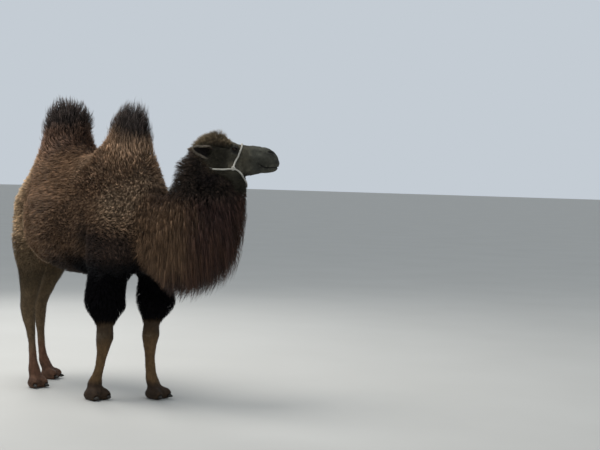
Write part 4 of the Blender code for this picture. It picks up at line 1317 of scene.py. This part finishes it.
# %% Grow a piece of coat
def grow(
    name, slot, chance, axis, seed, spacing, reach, width, look, rows=2, clump=0.035, pull=0.5,
    curl=0.004, swirl=0.5, rise=(0.7, 1.0), fray=0.15, tint=0.16, proud=0.006,
):
    """Grows one piece of coat where chance, a number for each triangle of the skin, is above 0."""
    rng = np.random.default_rng(seed)
    face, weight = roots(chance, spacing if FINE else spacing * 1.6, rng)
    root, reaches = over(face, weight, form.points), over(face, weight, lift)
    normal = unit(over(face, weight, skin_normals))
    at = Places(root + reaches, normal)
    shape = spines(at, root, reaches, rng, seed, reach, rows, clump, pull, curl, swirl, rise, fray)
    spine, high, jitter, own, off_centre = shape
    count = len(root)
    if rows > 1 and proud is not None:
        spine = held_in(spine, proud * rng.random(count), high, at.head > 0.3)
    chord = unit(spine[:, -1] - spine[:, 0])
    side = unit(np.cross(normal + 0.3 * jitter, chord))
    broad = width * rng.uniform(0.7, 1.3, count)
    strength = np.exp(tint * (2 * own - 1) + 0.5 * tint * rng.standard_normal(count))
    # Locks far from their clump's middle are painted darker, as shade in the crevices between clumps.
    strength = np.clip(strength, 0.4, 2.0) * (1.12 - 0.50 * ease(off_centre, 0.25, 0.62))
    colour = lock_colours(at, face, weight) * strength[:, None]  # darker between the clumps
    uv = unroll(root, axis)
    mesh = lock_mesh(name, spine, side, np.cross(chord, side), broad / 2, broad * 0.28, colour, uv)
    mesh.materials.append(look)
    piece = new_piece(name, mesh)
    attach(piece, "root")
    GROWN[name] = len(mesh.polygons)
    print(name, count, "locks", len(mesh.polygons), "triangles")


# %% [markdown]
# All the hair shares one recipe of finish, with its roughness and sheen set for each kind: a soft, dull
# fibre whose colour is carried by the locks, broken by fine streaks.

# %% The hair's finish
def hair_look(name, roughness, gloss, sheen, streak):
    look = Look(name, Roughness=roughness, Specular_IOR_Level=gloss, Sheen_Weight=sheen, Sheen_Roughness=0.5)
    fine = look.noise(streak, 2, 0.7)
    return look.finish(Base_Color=look.scaled(look.attribute("coat", "Color"), 0.80 + 0.40 * fine))


WOOL_LOOK = hair_look("wool", 0.92, 0.12, 0.05, 160)
MANE_LOOK = hair_look("mane hair", 0.75, 0.15, 0.03, 120)
SHORT_LOOK = hair_look("short hair", 0.80, 0.15, 0.03, 300)
SLEEVE_LOOK = hair_look("sleeve hair", 0.85, 0.06, 0.0, 120)
print("4 kinds of hair")

# %% [markdown]
# The trunk's wool is short, dense and matted into small clumps, with the tips turned to all sides. It is
# grown in four pieces, because a single one would have too many triangles to be exported whole.

# %% Grow the trunk's wool
P = Places(outer[form.triangles].mean(1), unit(skin_normals[form.triangles].sum(1)))
ON_EAR = is_ear[form.triangles[:, 0]]
hind = (P.x < -0.40) * ease(P.z, 1.08, 0.88)
FLEECE = dict(
    spacing=0.0076, reach=0.020, width=0.0046, look=WOOL_LOOK,
    clump=0.019, pull=0.55, fray=0.20, rise=(0.72, 1.0), tint=0.45,
)
trunk = (1 - P.neck) * (1 - P.head) * (P.z > 0.80) * (1 - P.hump) * (P.tail < 0.3)
trunk *= ~ON_EAR * (1 - 0.9 * P.sleeve) * (1 - hind)
spine_axis = (-1.1, SPINE_Y, 1.33), (0.6, SPINE_Y, 1.33)
rear, right = P.x < -0.40, P.side < 0
quarters = {
    "rump_right": rear & right,
    "rump_left": rear & ~right,
    "flank_right": ~rear & right,
    "flank_left": ~rear & ~right,
}
for number, (name, chosen) in enumerate(quarters.items()):
    grow("coat_" + name, "coat_trunk", trunk * chosen, spine_axis, 10 + number, **FLEECE)

# %% [markdown]
# The same wool climbs the humps. On top of each stands a brush of longer, darker hair, which is the one
# place where locks are let out past the solid form, as the brush's outline is ragged against the sky.

# %% Grow the humps' wool and brushes
BRUSH = dict(
    spacing=0.0054, reach=0.014, width=0.0036, look=MANE_LOOK,
    clump=0.032, pull=0.45, swirl=0.30, fray=0.50, rise=(0.70, 1.35), tint=0.3, proud=0.048,
)
for number, (name, middle) in enumerate(HUMP_MIDDLES.items()):
    chosen = ~ON_EAR * P.hump * (np.abs(P.x - middle.x) < 0.33)
    hump_axis = (middle.x, SPINE_Y, 1.7), (middle.x, SPINE_Y, 2.2)
    grow("coat_" + name, "coat_hump", chosen * (1 - 0.8 * P.crown), hump_axis, 20 + number, **FLEECE)
    grow("brush_" + name, "coat_hump", chosen * P.crown, hump_axis, 24 + number, **BRUSH)


# %% [markdown]
# The mane hangs from the crest to the bottom of the throat in strands that overlap like thatch. They are
# a little finer than the wool and much longer, and they lie nearly straight down.

# %% Grow the mane
def mane_reach(at):
    """Longest low on the throat, and short where the surface turns under."""
    return 0.032 + 0.040 * ease(at.z, 1.35, 1.0) - 0.050 * ease(at.normals[:, 2], -0.3, -0.8)


MANE = dict(
    spacing=0.0058, reach=mane_reach, width=0.0038, look=MANE_LOOK,
    clump=0.024, pull=0.55, swirl=0.28, fray=0.16, tint=0.42,
)
neck_axis = (0.72, -0.02, 0.8), (0.78, 0.05, 1.7)
for number, (name, chosen) in enumerate((("right", P.v < 0), ("left", P.v >= 0))):
    grow("mane_" + name, "coat_neck", ~ON_EAR * P.neck * chosen, neck_axis, 30 + number, **MANE)


# %% [markdown]
# On the head the hair is graded: plush on the cheeks and throat, a few millimetres on the face, none on
# the lids and the end of the nose, and a curly topknot that falls over the brow.

# %% Grow the hair of the head
def head_reach(at):
    return 0.024 + 0.024 * at.throat - 0.010 * ease(at.u, 0.10, 0.20)


def face_reach(at):
    return 0.009 + 0.007 * ease(at.u, 0.36, 0.20)


HEAD_HAIR = dict(
    spacing=0.0042, reach=head_reach, width=0.0026, look=MANE_LOOK,
    clump=0.014, pull=0.4, curl=0.0015, swirl=0.3, rise=(0.6, 1.0), tint=0.2,
)
FACE_HAIR = dict(
    spacing=0.0036, reach=face_reach, width=0.0017, look=SHORT_LOOK, rows=1,
    clump=0.010, pull=0.2, curl=0.0, swirl=0.25, rise=(0.25, 0.85), tint=0.45,
)
KNOT_HAIR = dict(
    spacing=0.0034, reach=0.016, width=0.0022, look=WOOL_LOOK,
    clump=0.018, swirl=0.6, fray=0.35, rise=(0.85, 1.3), tint=0.35, proud=0.024,
)
head_axis = tuple(HEAD_AT), tuple(from_head((0.6, 0, -0.05)))
off_eyes = ridge(np.hypot(P.u - EYE_FORWARD, P.w - EYE_ABOVE) / 0.022, 1) < 0.4
chosen = ~ON_EAR * P.head * (1 - P.face) * (1 - P.topknot)
grow("coat_head", "coat_head", chosen, head_axis, 40, **HEAD_HAIR)
chosen = ~ON_EAR * P.face * ease(P.u, 0.56, 0.50) * off_eyes
grow("coat_face", "coat_head", chosen, head_axis, 41, **FACE_HAIR)
grow("topknot", "coat_head", ~ON_EAR * P.topknot, head_axis, 42, **KNOT_HAIR)


# %% [markdown]
# Each foreleg wears a sleeve of long hair down to the knee. Below it, and all over the hind legs, the hair
# is short and flat. The short hair reaches up under the wool, so that no bare skin shows between them.

# %% Grow the hair of the legs
def leg_reach(at):
    return 0.012 + 0.014 * ease(at.z, 0.6, 1.0) + 0.008 * ridge(at.z - 0.15, 0.05)


SLEEVE = dict(
    spacing=0.0064, reach=0.045, width=0.0042, look=SLEEVE_LOOK, rows=3,
    clump=0.026, pull=0.45, curl=0.003, swirl=0.25, rise=(0.8, 1.05),
)
LEG_HAIR = dict(
    spacing=0.0042, reach=leg_reach, width=0.0021, look=SHORT_LOOK, rows=1,
    clump=0.012, pull=0.3, curl=0.0, swirl=0.3, rise=(0.5, 1.1), tint=0.5,
)
for number, name in enumerate(LEGS):
    low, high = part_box(name)
    top = high.z + 0.15
    mine = (P.x > low.x - 0.02) * (P.x < high.x + 0.02) * (P.side > 0 if "left" in name else P.side < 0)
    mine = mine * ~ON_EAR * (P.neck < 0.5) * (P.tail < 0.5) * ease(P.z, top, top - 0.12)
    middle = (low + high) / 2
    leg_axis = (middle.x, middle.y, 0), (middle.x, middle.y, 0.9)
    if "front" in name:
        grow("sleeve" + name[9:], "coat_leg", mine * P.sleeve, leg_axis, 50 + number, **SLEEVE)
        mine = mine * (P.z < SLEEVE_HEM + 0.02)
    grow("hair_" + name, "coat_leg", mine * (P.z > 0.03), leg_axis, 60 + number, **LEG_HAIR)


# %% [markdown]
# The tail ends in a dark tassel of long locks. The ears have short hair all over and more of it along the
# rim, where it is palest.

# %% Grow the hair of the tail and the ears
def tail_reach(at):
    return 0.04 + 0.04 * ease(at.z, 1.2, 1.0)


TAIL = dict(spacing=0.0060, reach=tail_reach, width=0.0040, look=MANE_LOOK, rows=3, clump=0.02)
EAR_HAIR = dict(
    spacing=0.0034, reach=0.015, width=0.0018, look=SHORT_LOOK,
    clump=0.010, pull=0.2, curl=0.0, swirl=0.2, rise=(0.5, 1.3), tint=0.2, proud=None,
)
low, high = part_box("tail")
tail_axis = (high.x, SPINE_Y, low.z), (high.x, SPINE_Y, high.z)
grow("coat_tail", "coat_tail", ~ON_EAR * (P.tail > 0.3), tail_axis, 70, **TAIL)
over_rim = ear_rim[form.triangles].mean(1)
grow("coat_ears", "coat_head", ON_EAR * (0.45 + 0.55 * over_rim), head_axis, 80, **EAR_HAIR)
print("coat", sum(GROWN.values()), "triangles; largest", max(GROWN.values()))

# %% [markdown]
# The eyeball is a sphere with a clear bulge in front. A camel's iris is dark brown and its pupil a level
# oval, so both are drawn by how far a point lies along and above the middle of the eye, which the mesh
# carries as two attributes. Long lashes shade it: thin dark locks rooted along the upper lid.

# %% Make the eyes
def eyeball(name, centre, side):
    bm = bmesh.new()
    bmesh.ops.create_uvsphere(bm, u_segments=40, v_segments=28, radius=1)
    in_order(bm)
    for v in bm.verts:
        v.co.z += 0.055 * max(v.co.z - 0.80, 0) / 0.20
    marks = np.array([v.co for v in bm.verts])
    out = (HEAD.to_3x3() @ Vector((0.12, side, 0.02))).normalized()
    level = HEAD.to_3x3() @ Vector((1, 0, 0))
    level = (level - level.dot(out) * out).normalized()
    turn = Matrix((level, out.cross(level), out)).transposed().to_4x4()
    bmesh.ops.transform(bm, matrix=Matrix.Translation(centre) @ turn @ Matrix.Scale(BALL, 4), verts=bm.verts)
    made = new_piece(name, bm)
    put(made.data, "eye_along", marks[:, 0])
    put(made.data, "eye_above", marks[:, 1])
    made.data.shade_smooth()
    return made


def eye_look():
    look = Look("eyeball", Roughness=0.16, Specular_IOR_Level=0.25, Coat_Weight=0.10, Coat_Roughness=0.02)
    along, above = look.attribute("eye_along"), look.attribute("eye_above")
    radius = (along * along + above * above) ** 0.5
    pupil = (along * along * 5.5 + above * above * 24) ** 0.5
    streaks = look.noise(34, 3, 0.7)
    iris = look.mix((0.012, 0.006, 0.003), (0.050, 0.024, 0.010), streaks)
    colour = look.mix(iris, (0.002, 0.002, 0.002), look.step(pupil, 1.10, 0.90))
    return look.finish(Base_Color=look.mix(colour, (0.030, 0.018, 0.013), look.step(radius, 0.78, 0.86)))


def lash_look():
    look = Look("lash", Roughness=0.5, Specular_IOR_Level=0.3)
    return look.finish(Base_Color=look.scaled(look.attribute("coat", "Color"), 0.7 + 0.6 * look.noise(200)))


EYE_LOOK, LASH_LOOK = eye_look(), lash_look()


# %% Make the lashes
def lashes(name, centre, side, count, rng):
    """Curved lashes along the upper lid, and shorter ones below."""
    upper = np.arange(count) < count * 0.7
    turn = np.where(upper, rng.uniform(0.10, 0.92, count), rng.uniform(1.15, 1.85, count)) * math.pi
    a = OPENING[0] * 1.02 * np.cos(turn)
    b = np.where(upper, OPENING[1], OPENING[2]) * 1.10 * np.sin(turn)
    a, b = a * math.cos(TILT) - b * math.sin(TILT), a * math.sin(TILT) + b * math.cos(TILT)
    c = np.sqrt(np.maximum((BALL + LID * 0.7) ** 2 - a * a - b * b, 0))
    long = np.where(upper, rng.uniform(0.018, 0.027, count), rng.uniform(0.006, 0.010, count))
    spine = np.empty((count, 5, 3))
    fan = a * 16 + rng.normal(0, 0.12, count)
    for k in range(5):
        t = k / 4
        spine[:, k, 0] = a + long * fan * 0.9 * t
        spine[:, k, 1] = side * (c - 0.001 + long * np.where(upper, 0.90 * t - 0.25 * t * t, 0.8 * t))
        spine[:, k, 2] = b + long * np.where(upper, -0.55 * t + 0.42 * t * t, -0.35 * t)
    middle = to_head(np.array([centre]))[0]
    spine = from_head((spine + middle).reshape(-1, 3)).reshape(count, 5, 3)
    chord = unit(spine[:, -1] - spine[:, 0])
    across = unit(np.cross(chord, HEAD_TURN[:, 2]))
    thick = np.where(upper, 0.0011, 0.0007)
    colour = np.tile(tone(30, 26, 24), (count, 1))
    uv = unroll(spine[:, 0], head_axis)
    mesh = lock_mesh(name, spine, across, np.cross(chord, across), thick, thick, colour, uv)
    mesh.materials.append(LASH_LOOK)
    return new_piece(name, mesh)


for word, side, centre in (("left", 1, eye_left), ("right", -1, eye_right)):
    piece = eyeball("eyeball_" + word, centre, side)
    piece.data.materials.append(EYE_LOOK)
    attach(piece, "root")
    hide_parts("eye_" + word)
    fringe = lashes("lashes_" + word, centre, side, 110, np.random.default_rng(90 + side))
    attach(fringe, "root")
print("eyes at", [round(x, 3) for x in eye_right])

# %% [markdown]
# Each toe ends in a small blunt nail. The solid nail is already in its place, so a copy of it is rounded
# by subdivision, and the growth rings of the horn are a bump along the toe.

# %% Make the nails
def nail_look():
    look = Look("nail horn", Roughness=0.45, Specular_IOR_Level=0.35)
    rings = look.wave("X", 60.0, 2.5, 2.0)
    worn = look.noise(70, 3)
    colour = look.mix((0.012, 0.010, 0.008), (0.050, 0.041, 0.032), 0.55 * worn + 0.25 * rings)
    bump = look.bump(0.6 * rings + 0.4 * worn, 0.35, 0.001)
    return look.finish(Base_Color=colour, Normal=bump, Roughness=0.35 + 0.3 * worn)


def blunt_claw(node):
    """The nail's solid, drawn out to a lower and narrower end away from the leg."""
    low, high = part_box(node)
    middle, half = (low + high) / 2, (high - low) / 2
    out = middle - middle_of("leg" + node[4:].rpartition("_")[0])
    out = Vector((out.x, out.y, 0)).normalized()
    bm = merged_copy(node)
    for v in bm.verts:
        rest = v.co - middle
        far = rest.dot(out)
        share = max(far / half.x, 0)
        place = (rest - out * far) * (0.82 - 0.30 * share) + out * (far * 1.1)
        place.z = rest.z * (0.86 - 0.42 * share) - 0.25 * half.z * share
        v.co = middle + place
    return bm


NAIL_LOOK = nail_look()
for node in [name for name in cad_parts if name.startswith("nail_")]:
    piece = new_piece(node.replace("nail", "toenail"), blunt_claw(node))
    piece.modifiers.new("round", "SUBSURF")
    piece.modifiers["round"].levels = piece.modifiers["round"].render_levels = 2
    settle(piece)
    piece.data.shade_smooth()
    piece.data.materials.clear()
    piece.data.materials.append(NAIL_LOOK)
    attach(piece, "root")
    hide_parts(node)
print("8 nails")

# %% [markdown]
# The strands of the rope are swept tubes wound about its middle line, three at a third of a turn from each
# other. A bend would twist the sweep, so the direction it is measured from is carried along the line.

# %% Twist the ropes
def rope(name, line, radius, pitch=0.021, sides=7, step=0.0022):
    """Three strands wound about a line, as one piece."""
    line = resampled(line, step)
    far = np.concatenate([[0], np.cumsum(np.linalg.norm(np.diff(line, axis=0), axis=1))])
    along = unit(np.gradient(line, axis=0))
    across = np.empty_like(line)
    across[0] = unit(np.cross(along[0], (0.3, 0.2, 0.9)))
    for i in range(1, len(line)):
        across[i] = unit(across[i - 1] - dot(across[i - 1], along[i]) * along[i])
    other = np.cross(along, across)
    bm = bmesh.new()
    for strand in range(3):
        loops = []
        for i in range(len(line)):
            angle = 2 * math.pi * (far[i] / pitch + strand / 3)
            out = across[i] * math.cos(angle) + other[i] * math.sin(angle)
            around = -across[i] * math.sin(angle) + other[i] * math.cos(angle)
            middle = line[i] + out * radius * 0.50
            circle = bmesh.ops.create_circle(bm, segments=sides, radius=radius * 0.54)["verts"]
            for v in circle:
                v.co = Vector(middle + out * v.co.x + around * v.co.y)
            loops.append(list({e for v in circle for e in v.link_edges}))
        for near, following in zip(loops, loops[1:]):
            bmesh.ops.bridge_loops(bm, edges=near + following)
        bmesh.ops.holes_fill(bm, edges=loops[0] + loops[-1])
    bmesh.ops.recalc_face_normals(bm, faces=bm.faces)
    made = new_piece(name, bm)
    made.data.shade_smooth()
    return made


def rope_look():
    look = Look("cotton rope", Roughness=0.9, Specular_IOR_Level=0.2, Sheen_Weight=0.2)
    yarn = look.wave("DIAGONAL", 260.0, 1.2, 1.0)
    dirt = look.noise(26, 4, 0.65)
    colour = look.mix((0.62, 0.60, 0.53), (0.34, 0.30, 0.24), dirt ** 2.0 * 1.3)
    colour = look.scaled(colour, 0.85 + 0.25 * yarn)
    return look.finish(Base_Color=colour, Normal=look.bump(yarn, 0.5, 0.001))


ROPE_LOOK = rope_look()
for node in ROUTES:
    piece = rope(node.replace("halter", "rope"), ROUTES[node], ROPE)
    piece.data.materials.append(ROPE_LOOK)
    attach(piece, "root")
    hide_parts(node)
    print(piece.name, len(piece.data.polygons), "faces")
turns = np.linspace(0, 2 * math.pi, 61)
ring = 0.0078 + 0.0036 * np.cos(3 * turns)
loop = np.stack([ring * np.cos(2 * turns), 0.0042 * np.sin(3 * turns), 1.15 * ring * np.sin(2 * turns)], 1)
for word, centre in KNOTS.items():
    piece = rope("tied_" + word, loop @ HEAD_TURN.T + np.array(centre), 0.0052, pitch=0.018, step=0.0018)
    piece.data.materials.append(ROPE_LOOK)
    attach(piece, "root")
    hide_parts("knot_" + word)

# %% [markdown]
# The stage is a plain pale floor under a pale sky. The light comes softly from above, as on an overcast
# day, with one broad lamp to give the back and humps their shape.

# %% Stage, light and camera
floor_bm = bmesh.new()
bmesh.ops.create_grid(floor_bm, x_segments=1, y_segments=1, size=150)
floor = new_piece("floor", floor_bm)
floor_look = Look("floor", Roughness=0.9, Specular_IOR_Level=0.1)
ground = floor_look.mix((0.47, 0.46, 0.43), (0.52, 0.51, 0.48), floor_look.noise(0.8, 3))
floor.data.materials.append(floor_look.finish(Base_Color=ground))
floor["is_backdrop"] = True

world = bpy.data.worlds.new("sky")
SCENE.world = world
world.use_nodes = True
sky = world.node_tree.nodes["Background"]
sky.inputs["Color"].default_value = (*tone(196, 204, 212), 1)
sky.inputs["Strength"].default_value = 1.0


def lamp(name, at, aim, size, power, tint=(1, 1, 1)):
    light = bpy.data.lights.new(name, "AREA")
    light.shape, light.size, light.energy, light.color = "DISK", size, power, tint
    made = bpy.data.objects.new(name, light)
    made.location = at
    made.rotation_euler = (Vector(aim) - Vector(at)).to_track_quat("-Z", "Y").to_euler()
    SCENE.collection.objects.link(made)


lamp("overhead", (-1.5, -1.5, 7.0), (0, 0, 1.2), 5.0, 420, (1.0, 0.98, 0.95))
lamp("behind", (-6.0, 3.0, 4.5), (0, 0, 1.3), 3.0, 160)

STAND = Vector((-0.198, SPINE_Y, 0))  # the point that the camera's distance is measured from
DISTANCE, EYE_HEIGHT = 9.7, 1.62
SIDE_ON = math.radians(50)  # from the camel's flank round to its front
AIM_RIGHT, AIM_DOWN, ROLL = math.radians(9.144), math.radians(1.987), math.radians(1.37)
lens = bpy.data.cameras.new("camera")
lens.sensor_width, lens.lens = 36.0, 76.98
camera = bpy.data.objects.new("camera", lens)
camera.location = STAND + Vector((math.sin(SIDE_ON) * DISTANCE, -math.cos(SIDE_ON) * DISTANCE, EYE_HEIGHT))
view = Matrix.Rotation(SIDE_ON - AIM_RIGHT, 4, "Z") @ Matrix.Rotation(math.pi / 2 - AIM_DOWN, 4, "X")
camera.rotation_euler = (view @ Matrix.Rotation(ROLL, 4, "Z")).to_euler()
SCENE.collection.objects.link(camera)
SCENE.camera = camera
SCENE.view_settings.view_transform = "Standard"
print("camera at", [round(x, 2) for x in camera.location])

# %% Measure and finish
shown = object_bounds()
print("visual", [round(high - low, 3) for low, high in zip(*shown)])
